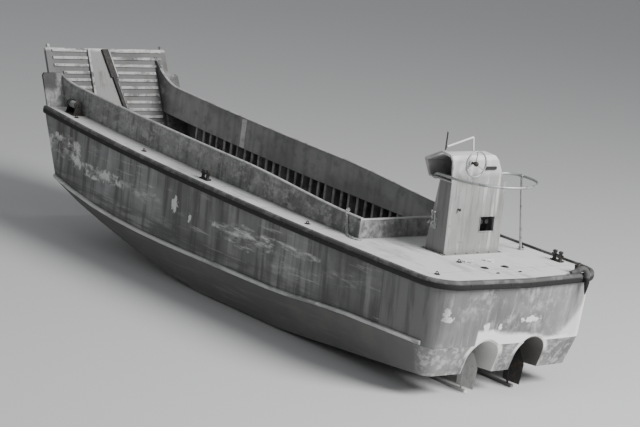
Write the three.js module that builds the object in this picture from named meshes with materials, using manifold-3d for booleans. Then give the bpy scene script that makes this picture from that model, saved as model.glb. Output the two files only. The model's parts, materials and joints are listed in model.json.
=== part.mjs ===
// Ramped landing craft, open well, steered from a console on the aft deck.
// Millimetres. +X is the bow, +Y is port, +Z is up. It stands on its flat bottom at z = 0.
import * as THREE from 'three';
import * as BufferGeometryUtils from 'three/addons/utils/BufferGeometryUtils.js';
import Module from 'manifold-3d';

const wasm = await Module();
wasm.setup();

// Driving dimensions of the hull.
const SEAT = 0.3;               // gap between pieces that are fastened to each other
const PLATE = 30;               // hull and deck plating
const HALF_BEAM = 1585;         // hull at the deck edge, without the guard
const RUNNER = 30;              // keel batten and bilge runners under the bottom
const WELL_HALF = 1060;         // well side, at the coaming's outer face
const WELL_AFT = -3080;         // aft end of the well
const GUARD = 65;               // how far the fender guard stands out
const STERN_CORNER = 1150;      // where the quarter's arc meets the transom, across the craft

// Ramp and the plane of the bow.
const RAMP_LEAN = THREE.MathUtils.degToRad(27);
const BOW_X = 4560;             // bow plane at the hinge's height
const BOW_Z = 1000;
const BOW_FRAME = 60;           // thickness of the bow frame
const RAMP_HALF = 1270;
const RAMP_TOP = 2290;          // up the ramp from the hinge
const RAMP_GAP = 10;            // between the bow frame and the ramp
const RAMP_THICK = 60;
const RAMP_POST = 70;            // eye posts above the ramp's top edge
const HINGE_OUT = 50;           // hinge axis ahead of the bow plane

// Bow plane: u goes up the ramp, w goes out from the bow.
const rampPoint = (u, w) => [
  BOW_X + u * Math.sin(RAMP_LEAN) + w * Math.cos(RAMP_LEAN),
  BOW_Z + u * Math.cos(RAMP_LEAN) - w * Math.sin(RAMP_LEAN),
];
// The ramp's tip is the foremost point, and the fender at the stern is as far from the middle.
const HALF_LENGTH = rampPoint(RAMP_TOP + RAMP_POST, RAMP_GAP + 50)[0];
const STERN_ROUND = 435;        // radius of the quarter at the deck
const STERN_CAMBER = 80;        // transom's bulge aft at the centre line, at the deck

// Deck edge height: a sheer that rises to the bow.
const sheerCurve = (x) => 1810 + 0.032 * x + 3.3e-6 * x * x;

// Hull lines, bow to stern: station, half-breadth at deck and knuckle, knuckle height,
// half-breadth and height of the flat bottom's edge.
const lines = [
  { x: 5650, deckY: 1460, knuckleY: 1445, knuckleZ: 1380, bottomY: 1400, bottomZ: 1330 },
  { x: 4600, deckY: 1505, knuckleY: 1470, knuckleZ: 940, bottomY: 1400, bottomZ: 885 },
  { x: 3900, deckY: 1540, knuckleY: 1500, knuckleZ: 820, bottomY: 1370, bottomZ: 660 },
  { x: 3200, deckY: 1565, knuckleY: 1520, knuckleZ: 730, bottomY: 1330, bottomZ: 480 },
  { x: 2500, deckY: 1578, knuckleY: 1535, knuckleZ: 675, bottomY: 1300, bottomZ: 325 },
  { x: 1800, deckY: HALF_BEAM, knuckleY: 1545, knuckleZ: 645, bottomY: 1280, bottomZ: 190 },
  { x: 1100, deckY: HALF_BEAM, knuckleY: 1550, knuckleZ: 635, bottomY: 1260, bottomZ: 90 },
  { x: 400, deckY: HALF_BEAM, knuckleY: 1550, knuckleZ: 635, bottomY: 1250, bottomZ: RUNNER },
  { x: -1700, deckY: HALF_BEAM, knuckleY: 1550, knuckleZ: 650, bottomY: 1250, bottomZ: RUNNER },
  { x: -2300, deckY: HALF_BEAM, knuckleY: 1550, knuckleZ: 675, bottomY: 1265, bottomZ: 75 },
  { x: -2900, deckY: HALF_BEAM, knuckleY: 1548, knuckleZ: 722, bottomY: 1290, bottomZ: 130 },
  { x: -3600, deckY: HALF_BEAM, knuckleY: 1545, knuckleZ: 762, bottomY: 1330, bottomZ: 195 },
  { x: -4300, deckY: HALF_BEAM, knuckleY: 1535, knuckleZ: 775, bottomY: 1370, bottomZ: 260 },
];
// The rounded quarter and the transom at each level: arc centre, radius, camber and height.
const stern = {
  deck: {
    cx: GUARD + STERN_ROUND + STERN_CAMBER - HALF_LENGTH, cy: STERN_CORNER,
    r: STERN_ROUND, camber: STERN_CAMBER,
  },
  knuckle: { cx: -5200, cy: 1310, r: 200, camber: 50, z: 785 },
  bottom: { cx: -5100, cy: 1260, r: 160, camber: 40, z: 340 },
};
const ARC_STEPS = 5;

// A closed, merged solid of manifold-3d from a three.js geometry.
function solid(geometry) {
  const flat = geometry.index ? geometry.toNonIndexed() : geometry.clone();
  const bare = new THREE.BufferGeometry();
  bare.setAttribute('position', flat.getAttribute('position'));
  const merged = BufferGeometryUtils.mergeVertices(bare, 1e-4);
  const at = merged.getAttribute('position').array;
  const index = merged.index.array;
  const kept = [];
  for (let i = 0; i < index.length; i += 3) {
    const [a, b, c] = [index[i], index[i + 1], index[i + 2]];
    if (a !== b && b !== c && c !== a) kept.push(a, b, c);
  }
  let volume = 0;
  for (let i = 0; i < kept.length; i += 3) {
    const [a, b, c] = [0, 1, 2].map((k) => new THREE.Vector3().fromArray(at, 3 * kept[i + k]));
    volume += a.dot(b.cross(c)) / 6;
  }
  if (volume < 0) kept.reverse();
  return new wasm.Manifold(new wasm.Mesh({
    numProp: 3,
    vertProperties: Float32Array.from(at),
    triVerts: Uint32Array.from(kept),
  }));
}

function fromSolid(manifold) {
  const made = manifold.getMesh();
  const geometry = new THREE.BufferGeometry();
  geometry.setAttribute('position', new THREE.BufferAttribute(Float32Array.from(made.vertProperties), 3));
  geometry.setIndex(new THREE.BufferAttribute(Uint32Array.from(made.triVerts), 1));
  const faces = geometry.toNonIndexed();
  faces.computeVertexNormals();
  return faces;
}

const join = (pieces) => fromSolid(pieces.map(solid).reduce((all, next) => all.add(next)));
const cut = (piece, ...tools) =>
  fromSolid(tools.map(solid).reduce((left, tool) => left.subtract(tool), solid(piece)));
const common = (piece, other) => fromSolid(solid(piece).intersect(solid(other)));

// The same piece on the other side of the centre line.
function mirrored(geometry) {
  const other = geometry.clone();
  other.scale(1, -1, 1);
  return fromSolid(solid(other));
}

function box(x0, x1, y0, y1, z0, z1) {
  const block = new THREE.BoxGeometry(x1 - x0, y1 - y0, z1 - z0);
  block.translate((x0 + x1) / 2, (y0 + y1) / 2, (z0 + z1) / 2);
  return block;
}

function extrude(points, depth) {
  const shape = new THREE.Shape(points.map(([u, v]) => new THREE.Vector2(u, v)));
  return new THREE.ExtrudeGeometry(shape, { depth, bevelEnabled: false, curveSegments: 8 });
}

// A plate with its outline in the XZ plane, between two places across the craft.
function plateXZ(points, y0, y1) {
  const plate = extrude(points, y1 - y0);
  plate.rotateX(Math.PI / 2);
  plate.translate(0, y1, 0);
  return plate;
}

// A plate with its outline in the YZ plane, between two stations.
function plateYZ(points, x0, x1) {
  const plate = extrude(points, x1 - x0);
  plate.applyMatrix4(new THREE.Matrix4().set(0, 0, 1, x0, 1, 0, 0, 0, 0, 1, 0, 0, 0, 0, 0, 1));
  return plate;
}

// A round bar between two points.
function bar(from, to, radius, sides = 12, radiusTo = radius) {
  const a = new THREE.Vector3(...from);
  const b = new THREE.Vector3(...to);
  const way = b.clone().sub(a);
  const rod = new THREE.CylinderGeometry(radiusTo, radius, way.length(), sides);
  const turn = new THREE.Quaternion().setFromUnitVectors(new THREE.Vector3(0, 1, 0), way.clone().normalize());
  rod.applyQuaternion(turn);
  rod.translate(...a.add(b).multiplyScalar(0.5).toArray());
  return rod;
}

// A band of quads over a grid of points, outer face and inner face, closed along its borders.
function shell(outer, inner, closeEnd = true) {
  const at = [];
  const quad = (a, b, c, d) => at.push(...a, ...b, ...c, ...a, ...c, ...d);
  const rows = outer.length;
  const columns = outer[0].length;
  for (let i = 0; i + 1 < rows; i += 1) {
    for (let j = 0; j + 1 < columns; j += 1) {
      quad(outer[i][j], outer[i + 1][j], outer[i + 1][j + 1], outer[i][j + 1]);
      quad(inner[i][j], inner[i][j + 1], inner[i + 1][j + 1], inner[i + 1][j]);
    }
    for (const [j, side] of [[0, true], [columns - 1, false]]) {
      const rim = [outer[i][j], inner[i][j], inner[i + 1][j], outer[i + 1][j]];
      quad(...(side ? rim : rim.reverse()));
    }
  }
  for (const [i, wanted, first] of [[0, true, true], [rows - 1, closeEnd, false]]) {
    for (let j = 0; wanted && j + 1 < columns; j += 1) {
      const rim = [outer[i][j], outer[i][j + 1], inner[i][j + 1], inner[i][j]];
      quad(...(first ? rim : rim.reverse()));
    }
  }
  const geometry = new THREE.BufferGeometry();
  geometry.setAttribute('position', new THREE.Float32BufferAttribute(at, 3));
  return geometry;
}

// A section carried along a path, with its first axis level and its second axis up.
// The section is a list of [outward, up] pairs; the path has points and outward directions.
function moulding(path, section) {
  const ring = (p) => section.map(([out, up]) => [p.x + out * p.nx, p.y + out * p.ny, p.z + up]);
  const rings = path.map(ring);
  const at = [];
  const quad = (a, b, c, d) => at.push(...a, ...b, ...c, ...a, ...c, ...d);
  for (let i = 0; i + 1 < rings.length; i += 1) {
    const next = rings[i + 1];
    for (let j = 0; j < section.length; j += 1) {
      const k = (j + 1) % section.length;
      quad(rings[i][j], next[j], next[k], rings[i][k]);
    }
  }
  const capTriangles = THREE.ShapeUtils.triangulateShape(section.map((s) => new THREE.Vector2(...s)), []);
  for (const [ringPoints, flip] of [[rings[0], false], [rings[rings.length - 1], true]]) {
    for (const triangle of capTriangles) {
      const order = flip ? [...triangle].reverse() : triangle;
      order.forEach((k) => at.push(...ringPoints[k]));
    }
  }
  const geometry = new THREE.BufferGeometry();
  geometry.setAttribute('position', new THREE.Float32BufferAttribute(at, 3));
  return geometry;
}

const circle = (radius, sides) => Array.from({ length: sides }, (_, k) => {
  const angle = (2 * Math.PI * k) / sides;
  return [radius * Math.cos(angle), radius * Math.sin(angle)];
});

// Port half of a level of the hull, bow to the transom's middle: each place and its outward direction.
function level(sideY, sideZ, end, endZ) {
  const path = lines.map((s) => ({ x: s.x, y: s[sideY], z: sideZ(s), nx: 0, ny: 1 }));
  for (let k = 0; k <= ARC_STEPS; k += 1) {
    const angle = (Math.PI / 2) * (k / ARC_STEPS);
    const nx = -Math.sin(angle);
    const ny = Math.cos(angle);
    const x = end.cx + end.r * nx;
    path.push({ x, y: end.cy + end.r * ny, z: endZ(x), nx, ny });
  }
  const x = end.cx - end.r - end.camber;
  path.push({ x, y: 0, z: endZ(x), nx: -1, ny: 0 });
  return path;
}
const deckEdge = level('deckY', (s) => sheerCurve(s.x), stern.deck, sheerCurve);
const knuckle = level('knuckleY', (s) => s.knuckleZ, stern.knuckle, () => stern.knuckle.z);
const bottomEdge = level('bottomY', (s) => s.bottomZ, stern.bottom, () => stern.bottom.z);

const place = (p, inwards = 0, up = 0) => [p.x - inwards * p.nx, p.y - inwards * p.ny, p.z + up];
const starboard = ([x, y, z]) => [x, -y, z];
const flipPath = (path) => path.map((p) => ({ ...p, y: -p.y, ny: -p.ny }));
const roundStern = (path, from) => [...path.slice(from), ...flipPath(path.slice(from, -1)).reverse()];

// Height of a level at a station, on the straight run between its points.
function heightOn(path, x) {
  const found = path.findIndex((p) => p.x <= x);
  const after = found === -1 ? path.length - 1 : Math.max(1, found);
  const [a, b] = [path[after - 1], path[after]];
  return a.z + ((x - a.x) / (b.x - a.x)) * (b.z - a.z);
}
const bottomAt = (x) => heightOn(bottomEdge, x);
const onBottom = (x) => [x, bottomAt(x) + PLATE + SEAT];
const sheer = (x) => heightOn(deckEdge, x);
const deckTop = (x) => sheer(x) + PLATE + SEAT;

// Half-breadth of the hull's inner face at a station and height, for what fits inside it.
function inside(x, z) {
  const after = Math.max(1, lines.findIndex((s) => s.x <= x));
  const [a, b] = [lines[after - 1], lines[after]];
  const t = (x - a.x) / (b.x - a.x);
  const mix = (key) => a[key] + t * (b[key] - a[key]);
  const heights = [
    [mix('bottomZ') + PLATE, mix('bottomY') - PLATE / 2],
    [mix('knuckleZ'), mix('knuckleY') - PLATE],
    [sheer(x), mix('deckY') - PLATE],
  ];
  const upper = z > heights[1][0] ? 2 : 1;
  const [low, high] = [heights[upper - 1], heights[upper]];
  return low[1] + ((z - low[0]) / (high[0] - low[0])) * (high[1] - low[1]) - 2;
}

const rampPlate = (uw, y0, y1) => plateXZ(uw.map(([u, w]) => rampPoint(u, w)), y0, y1);
const rampBox = (u0, u1, y0, y1, w0, w1) => rampPlate([[u0, w0], [u1, w0], [u1, w1], [u0, w1]], y0, y1);
const aheadOf = (w) => rampBox(-3000, 4000, -4000, 4000, w, 4000);

const paints = {
  side: { color: 0x8a8c8b, roughness: 0.75, metalness: 0.1 },
  bottom: { color: 0x3b3b3a, roughness: 0.85, metalness: 0.1 },
  deck: { color: 0xc9cac6, roughness: 0.8, metalness: 0.05 },
  well: { color: 0x4a4b4a, roughness: 0.85, metalness: 0.05 },
  fender: { color: 0x262625, roughness: 0.9, metalness: 0 },
  strake: { color: 0xa4a5a2, roughness: 0.8, metalness: 0.05 },
  console: { color: 0xb9bab7, roughness: 0.7, metalness: 0.1 },
  ramp: { color: 0xb2b3b0, roughness: 0.8, metalness: 0.1 },
  iron: { color: 0x393938, roughness: 0.6, metalness: 0.7 },
  galvanised: { color: 0xa8abab, roughness: 0.45, metalness: 0.8 },
  bronze: { color: 0x8a7440, roughness: 0.4, metalness: 0.9 },
};
const craft = new THREE.Group();
function add(name, geometry, paint) {
  const mesh = new THREE.Mesh(geometry, new THREE.MeshStandardMaterial(paints[paint]));
  mesh.name = name;
  craft.add(mesh);
  return mesh;
}

// Hull shell
const SIDE_END = lines.length - 1;
const behindBowFrame = aheadOf(-BOW_FRAME - SEAT);

function sidePlating() {
  const path = deckEdge.slice(0, SIDE_END + 1);
  const low = knuckle.slice(0, SIDE_END + 1);
  const outer = path.map((p, i) => [place(p), place(low[i], 0, SEAT)]);
  const inner = path.map((p, i) => [place(p, PLATE), place(low[i], PLATE, SEAT)]);
  return cut(shell(outer, inner), behindBowFrame);
}
function transomPlating() {
  const top = roundStern(deckEdge, SIDE_END);
  const low = roundStern(knuckle, SIDE_END);
  const ends = (p) => (p.nx === 0 ? SEAT : 0);
  const shift = (point, p) => [point[0] - ends(p), point[1], point[2]];
  const outer = top.map((p, i) => [shift(place(p), p), shift(place(low[i], 0, SEAT), p)]);
  const inner = top.map((p, i) => [shift(place(p, PLATE), p), shift(place(low[i], PLATE, SEAT), p)]);
  const gap = tunnelSpace(TUNNEL.plate + SEAT);
  return cut(shell(outer, inner), gap, mirrored(gap));
}
function bottomPlating() {
  const outer = [];
  const inner = [];
  bottomEdge.forEach((b, i) => {
    const k = knuckle[i];
    const out = [place(k), place(b)];
    const into = [place(k, PLATE), place(b, PLATE / 2, PLATE)];
    outer.push([...out, ...out.map(starboard).reverse()]);
    inner.push([...into, ...into.map(starboard).reverse()]);
  });
  return cut(shell(outer, inner, false), behindBowFrame);
}
const hullFilled = () => {
  const rows = lines.slice(0, 4).map((s) => {
    const half = [[s.x, s.deckY, sheer(s.x)], [s.x, s.knuckleY, s.knuckleZ], [s.x, s.bottomY, s.bottomZ]];
    return [...half, ...half.map(starboard).reverse()];
  });
  const at = [];
  const quad = (a, b, c, d) => at.push(...a, ...b, ...c, ...a, ...c, ...d);
  for (let i = 0; i + 1 < rows.length; i += 1) {
    for (let j = 0; j < 6; j += 1) {
      quad(rows[i][j], rows[i + 1][j], rows[i + 1][(j + 1) % 6], rows[i][(j + 1) % 6]);
    }
  }
  for (const [row, flip] of [[rows[0], false], [rows[rows.length - 1], true]]) {
    for (const triangle of [[0, 1, 4], [0, 4, 5], [1, 2, 3], [1, 3, 4]]) {
      (flip ? [...triangle].reverse() : triangle).forEach((k) => at.push(...row[k]));
    }
  }
  const geometry = new THREE.BufferGeometry();
  geometry.setAttribute('position', new THREE.Float32BufferAttribute(at, 3));
  return geometry;
};
const bowFrame = () => cut(
  common(hullFilled(), rampBox(-2000, 4000, -3000, 3000, -BOW_FRAME, 0)),
  rampBox(-40, 4000, -WELL_HALF, WELL_HALF, -200, 200),
);

// Propeller tunnels, one on each side of the centre line, open below and through the transom.
const GEAR_Y = 460;             // shaft lines, out from the centre line
const TUNNEL = { half: 290, crown: 850, fore: -3500, level: -4450, plate: 25, end: -6000 };
// The space of the port tunnel, grown by so much: an arch along the craft, with a roof that falls
// forward.
function tunnelSpace(grow) {
  const half = TUNNEL.half + grow;
  const steps = 12;
  const arch = Array.from({ length: steps + 1 }, (_, k) => {
    const angle = (Math.PI * k) / steps;
    return [GEAR_Y + half * Math.cos(angle), TUNNEL.crown - TUNNEL.half + half * Math.sin(angle)];
  });
  const below = -100;
  const above = TUNNEL.crown + 150;
  const foot = bottomAt(TUNNEL.fore);
  const slope = Math.atan2(TUNNEL.crown - foot, TUNNEL.fore - TUNNEL.level);
  const roofX = (z) => TUNNEL.fore + grow / Math.sin(slope) - (z - foot) / Math.tan(slope);
  const roof = [[TUNNEL.end, below], [roofX(below), below], [roofX(above), above], [TUNNEL.end, above]];
  return common(
    plateYZ([[GEAR_Y + half, below], ...arch, [GEAR_Y - half, below]], TUNNEL.end, 0),
    plateXZ(roof, 0, 1000),
  );
}

const side = sidePlating();
add('side_plating_port', side, 'side');
add('side_plating_starboard', mirrored(side), 'side');
add('transom_plating', transomPlating(), 'side');

add('bow_frame', bowFrame(), 'side');

// Shaft lines down to the propellers, skegs round the stern tubes, rudders on the skegs' shoes.
const SKEG = { half: 32, fore: -2000, aft: -4410, shoeEnd: -5140, shoeTop: 42 };
const PROP = { x: -4640, z: 400, r: 230 };
const SHAFT_RISE = Math.tan(THREE.MathUtils.degToRad(8));
const SHAFT_R = 25;
const TUBE = { r: 52, bore: 25.6, aft: -4520, fore: -3350 };
const RUDDER_X = -5040;
const STOCK = { r: 24, top: 1000 };
const PINTLE_R = 15;
const onShaft = (x) => [x, GEAR_Y, PROP.z + (x - PROP.x) * SHAFT_RISE];
const tubeSpace = bar(onShaft(TUBE.aft - 60), onShaft(TUBE.fore + 10), TUBE.r + 2 * SEAT, 16);
const stockSpace = bar([RUDDER_X, GEAR_Y, 600], [RUDDER_X, GEAR_Y, STOCK.top + 100], STOCK.r + 5, 16);

// Keel batten and bilge runners follow the bottom.
const OVERLAP = 10;
const underBottom = lines.slice(1).map((s) => [s.x, s.bottomZ]);
const ribbon = (line) => [...line.map(([x, z]) => [x, z + OVERLAP]),
  ...line.map(([x, z]) => [x, z - RUNNER]).reverse()];
const keelLine = underBottom.filter(([x]) => x <= 4600 && x >= -2900);
const runnerLine = underBottom.filter(([x]) => x <= 3900 && x >= -2900);
const runnerPort = plateXZ(ribbon(runnerLine), 860, 940);
// What lies above the bottom's outer face and ahead of the transom's, from the centre line to port.
const TRANSOM_IN = 30;           // the transom's camber between the centre line and a tunnel's outer side
const aftBottom = [...underBottom.filter(([x]) => x <= SKEG.fore + 1000),
  [stern.bottom.cx - stern.bottom.r - stern.bottom.camber + TRANSOM_IN, stern.bottom.z]];
const tunnelEnd = stern.knuckle.cx - stern.knuckle.r - stern.knuckle.camber + TRANSOM_IN;
const aboveBottom = (lift) => plateXZ([...aftBottom.map(([x, z]) => [x, z + lift]),
  [tunnelEnd, stern.knuckle.z], [tunnelEnd - 20, 950], [aftBottom[0][0], 950]], 0, 1000);
const tunnelPort = common(tunnelSpace(TUNNEL.plate), aboveBottom(0));
const insideTunnel = tunnelSpace(0);
const holesPort = [insideTunnel, tubeSpace, stockSpace];
const onBothSides = (pieces) => pieces.flatMap((p) => [p, mirrored(p)]);
add('bottom_plating', cut(
  join([bottomPlating(), plateXZ(ribbon(keelLine), -60, 60), ...onBothSides([runnerPort, tunnelPort])]),
  ...onBothSides(holesPort), behindBowFrame,
), 'bottom');
function skeg() {
  const outline = [
    [SKEG.fore, 0], [SKEG.fore, 300], [TUNNEL.fore, 400], [-3900, 560], [SKEG.aft, onShaft(SKEG.aft)[2]],
    [SKEG.aft, SKEG.shoeTop], [SKEG.shoeEnd, SKEG.shoeTop], [SKEG.shoeEnd, 0],
  ];
  const blank = join([
    plateXZ(outline, GEAR_Y - SKEG.half, GEAR_Y + SKEG.half),
    bar(onShaft(TUBE.aft), onShaft(TUBE.fore), TUBE.r, 16),
  ]);
  const hull = cut(aboveBottom(-SEAT), tunnelSpace(-SEAT));
  const pintleHole = bar([RUDDER_X, GEAR_Y, -10], [RUDDER_X, GEAR_Y, SKEG.shoeTop + 10], PINTLE_R + 1, 12);
  return cut(blank, hull, pintleHole, bar(onShaft(-4700), onShaft(-3000), TUBE.bore, 16));
}
function propeller() {
  const hub = bar([0, 0, -70], [0, 0, 70], 52, 16, 46);
  const blades = [0, 1, 2].map((k) => {
    const outline = new THREE.Shape();
    outline.moveTo(40, -30);
    outline.bezierCurveTo(100, -110, PROP.r - 10, -85, PROP.r, -10);
    outline.bezierCurveTo(PROP.r, 65, 120, 100, 40, 30);
    const blade = new THREE.ExtrudeGeometry(outline, { depth: 12, bevelEnabled: false, curveSegments: 5 });
    blade.translate(0, 0, -6);
    blade.rotateX(THREE.MathUtils.degToRad(28));
    blade.rotateZ((k * 2 * Math.PI) / 3);
    return blade;
  });
  const screw = join([hub, ...blades]);
  const bored = cut(screw, bar([0, 0, -120], [0, 0, 120], SHAFT_R + 0.8, 16));
  bored.rotateY(Math.PI / 2 - Math.atan(SHAFT_RISE));
  bored.translate(...onShaft(PROP.x));
  return bored;
}
const propellerShaft = () => join([
  bar(onShaft(-4730), onShaft(-3300), SHAFT_R, 16),
  bar(onShaft(-4770), onShaft(-4718), 38, 12),
]);
function rudder() {
  const outline = [[-4930, 80], [-4930, 600], [-5200, 640], [-5320, 430], [-5280, 80]];
  const blade = plateXZ(outline, GEAR_Y - 14, GEAR_Y + 14);
  const stock = bar([RUDDER_X, GEAR_Y, 70], [RUDDER_X, GEAR_Y, STOCK.top], STOCK.r, 16);
  const pintle = bar([RUDDER_X, GEAR_Y, 12], [RUDDER_X, GEAR_Y, 90], PINTLE_R, 12);
  return join([blade, stock, pintle]);
}
const gear = [
  { name: 'skeg', piece: skeg(), paint: 'bottom' },
  { name: 'propeller', piece: propeller(), paint: 'bronze' },
  { name: 'propeller_shaft', piece: propellerShaft(), paint: 'bronze' },
  { name: 'rudder', piece: rudder(), paint: 'iron' },
];
for (const { name, piece, paint } of gear) {
  add(`${name}_port`, piece, paint);
  add(`${name}_starboard`, mirrored(piece), paint);
}

// Rubbing strake along the knuckle, fender guard along the deck edge.
const STRAKE_LIFT = 45;
const SIDE_FLARE = 0.09;         // the side's lean outwards above the knuckle, at most
const strakeSection = [[SIDE_FLARE * 10 + SEAT, -35], [45, -25], [45, 25], [SIDE_FLARE * 80 + SEAT, 35]];
const knuckleSide = knuckle.slice(0, SIDE_END + 2);
const strakeLift = knuckleSide.map((p) => ({ ...p, z: p.z + STRAKE_LIFT }));
const strake = cut(moulding(strakeLift, strakeSection), aheadOf(0));
add('knuckle_strake_port', strake, 'strake');
add('knuckle_strake_starboard', mirrored(strake), 'strake');

const guardSection = [[SEAT, -75], [40, -70], [GUARD, -35], [GUARD, 25], [40, 58], [SEAT, 62]];
const guardSide = moulding(deckEdge.slice(0, SIDE_END + 1), guardSection);
const guard = cut(guardSide, aheadOf(0));
add('guard_port', guard, 'fender');
add('guard_starboard', mirrored(guard), 'fender');
const sternPath = roundStern(deckEdge, SIDE_END).map((p) => (p.nx === 0 ? { ...p, x: p.x - SEAT } : p));
add('guard_stern', moulding(sternPath, guardSection), 'fender');

// Decks
function deckStrip(rows) {
  const top = rows.map((row) => row.map(([x, y]) => [x, y, sheer(x) + PLATE + SEAT]));
  const low = rows.map((row) => row.map(([x, y]) => [x, y, sheer(x) + SEAT]));
  return shell(top, low);
}
function sideDeck() {
  const stations = lines.filter((s) => s.x > WELL_AFT);
  const rows = stations.map((s) => [[s.x, s.deckY], [s.x, WELL_HALF]]);
  rows.push([[WELL_AFT + SEAT, HALF_BEAM], [WELL_AFT + SEAT, WELL_HALF]]);
  return cut(deckStrip(rows), aheadOf(0));
}
const HATCH = { x0: -5260, x1: -4560, half: 330 };
HATCH.ledge = sheer(HATCH.x0) - 12;
function aftDeck() {
  const rows = [[[WELL_AFT, HALF_BEAM], [WELL_AFT, -HALF_BEAM]]];
  for (const p of deckEdge.slice(SIDE_END - 1)) {
    if (p.x < WELL_AFT) rows.push([[p.x, p.y], [p.x, -p.y]]);
  }
  const last = rows.pop();
  rows.push([[last[0][0], 1], [last[0][0], -1]]);
  const hatch = box(HATCH.x0, HATCH.x1, -HATCH.half, HATCH.half, 1000, 3000);
  const low = HATCH.ledge;
  const ledge = cut(
    box(HATCH.x0 - 40, HATCH.x1 + 40, -HATCH.half - 40, HATCH.half + 40, low - 20, sheer(HATCH.x1) + 20),
    box(HATCH.x0 + 30, HATCH.x1 - 30, -HATCH.half + 30, HATCH.half - 30, low - 60, low + 200),
    box(HATCH.x0, HATCH.x1, -HATCH.half, HATCH.half, low, low + 200),
  );
  const knuckles = [-1, 1].flatMap((s) => [-1, 1].map((t) => {
    const y = s * 200 + t * (HINGE.long / 2 + HINGE.gap + 20);
    const leaf = box(HATCH.x1 + 4, HATCH.x1 + 70, y - 20, y + 20, HINGE.z - 20, HINGE.z - 3);
    return join([hingeRod(y - 20, y + 20, HINGE.r), leaf]);
  }));
  const pins = [-1, 1].map((s) => hingeRod(s * 200 - 70, s * 200 + 70, HINGE.pin));
  return join([cut(deckStrip(rows), hatch), ledge, ...knuckles, ...pins]);
}
// What lies below the decks' top face outside the well: pieces that stand on a deck are cut by it.
function belowDeck(y0 = WELL_HALF - SEAT, y1 = 3000) {
  const top = deckEdge.map((p) => [p.x, p.z + PLATE + 2 * SEAT]);
  return plateXZ([...top, [-6000, top[top.length - 1][1]], [-6000, 0], [lines[0].x, 0]], y0, y1);
}
const seated = (piece) => cut(piece, belowDeck(-3000, 3000));
const deck = sideDeck();
add('side_deck_port', deck, 'deck');
add('side_deck_starboard', mirrored(deck), 'deck');

// Coaming round the well, and the bulwark wings that sweep up from it to the ramp.
const COAMING = 40;
const COAMING_DROP = 60;
const WING_START = 4100;
const coamingRise = (x) => 300 + 130 * THREE.MathUtils.smoothstep(x, WELL_AFT, 0);
function coaming() {
  const stations = [WELL_AFT, -2300, -1700, -900, 0, 1100, 1800, 2500, 3200, WING_START];
  const top = stations.map((x) => [x, deckTop(x) + coamingRise(x)]);
  const low = stations.map((x) => [x, sheer(x) - COAMING_DROP]).reverse();
  return plateXZ([...top, ...low], WELL_HALF - COAMING, WELL_HALF - SEAT);
}
// The wings rise close to the ramp. The port one is the lower.
const WING = { end: 5600, rise: 4700, port: 130, starboard: 430, cheekOut: 1440, cheekRise: 530 };
function wing(rise) {
  const steps = 7;
  const swept = (x) => Math.max(0, x - WING.rise) / (WING.end - WING.rise);
  const wingTop = (x) => deckTop(x) + coamingRise(x) + rise * swept(x) ** 2;
  const along = (k) => WING_START + SEAT + (WING.end - WING_START) * (k / steps);
  const stations = Array.from({ length: steps + 1 }, (_, k) => along(k));
  const top = stations.map((x) => [x, wingTop(x)]);
  const low = [WING.end, WING_START + SEAT].map((x) => [x, sheer(x) - COAMING_DROP]);
  const plate = plateXZ([...top, ...low], WELL_HALF - COAMING, WELL_HALF - SEAT);
  const post = deckTop(5300) + WING.cheekRise;
  const cheekOutline = [
    [WELL_HALF - COAMING, sheer(4900)], [WING.cheekOut, sheer(4900)], [WING.cheekOut, post - 40],
    [WING.cheekOut - 40, post], [WING.cheekOut - 150, post], [WELL_HALF - COAMING, wingTop(5450)],
  ];
  const cheek = common(plateYZ(cheekOutline, 4000, 6500), rampBox(0, 4000, 0, 3000, -45, -5));
  return cut(join([cut(plate, aheadOf(-5)), cheek]), belowDeck());
}
const coamingPort = coaming();
add('coaming_port', coamingPort, 'well');
add('coaming_starboard', mirrored(coamingPort), 'well');
add('bulwark_wing_port', wing(WING.port), 'well');
add('bulwark_wing_starboard', mirrored(wing(WING.starboard)), 'well');
const aftTop = deckTop(WELL_AFT) + 280;
const aftHalf = WELL_HALF - COAMING - SEAT;
const aftFoot = sheer(WELL_AFT) - COAMING_DROP;
add('coaming_aft', box(WELL_AFT + SEAT, WELL_AFT + COAMING, -aftHalf, aftHalf, aftFoot, aftTop), 'well');

// Well floor, on bearers, level and then rising to the ramp's hinge.
const FLOOR = { z: 450, thick: 40, rise: 2100, half: WELL_HALF };
const floorTop = (x) => FLOOR.z + Math.max(0, x - FLOOR.rise) * ((BOW_Z - FLOOR.z) / (BOW_X - FLOOR.rise));
function wellFloor() {
  const xs = [WELL_AFT + SEAT, FLOOR.rise, BOW_X + 200];
  const top = xs.map((x) => [x, floorTop(x)]);
  const low = xs.map((x) => [x, floorTop(x) - FLOOR.thick]).reverse();
  return cut(plateXZ([...top, ...low], -FLOOR.half, FLOOR.half), behindBowFrame);
}
add('well_floor', wellFloor(), 'well');
const BEARERS = { from: -2500, step: 700, count: 10, thick: 50, half: WELL_HALF - 10 };
function floorBearers() {
  const made = [];
  for (let k = 0; k < BEARERS.count; k += 1) {
    const x = BEARERS.from + k * BEARERS.step;
    const xs = [x - BEARERS.thick / 2, x + BEARERS.thick / 2];
    const top = xs.map((v) => [v, floorTop(v) - FLOOR.thick - SEAT]);
    const low = xs.map(onBottom).reverse();
    if (top[0][1] > low[0][1] + 20) made.push(plateXZ([...top, ...low], -BEARERS.half, BEARERS.half));
  }
  const spine = [BEARERS.from, -1700, 400, 1100, 1800, 2500, 3200, 3800];
  const low = spine.map(onBottom);
  const keelson = plateXZ([...low, ...[...low].reverse().map(([x, z]) => [x, z + 55])], -45, 45);
  return join([keelson, ...made]);
}
add('floor_bearers', floorBearers(), 'well');

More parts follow.
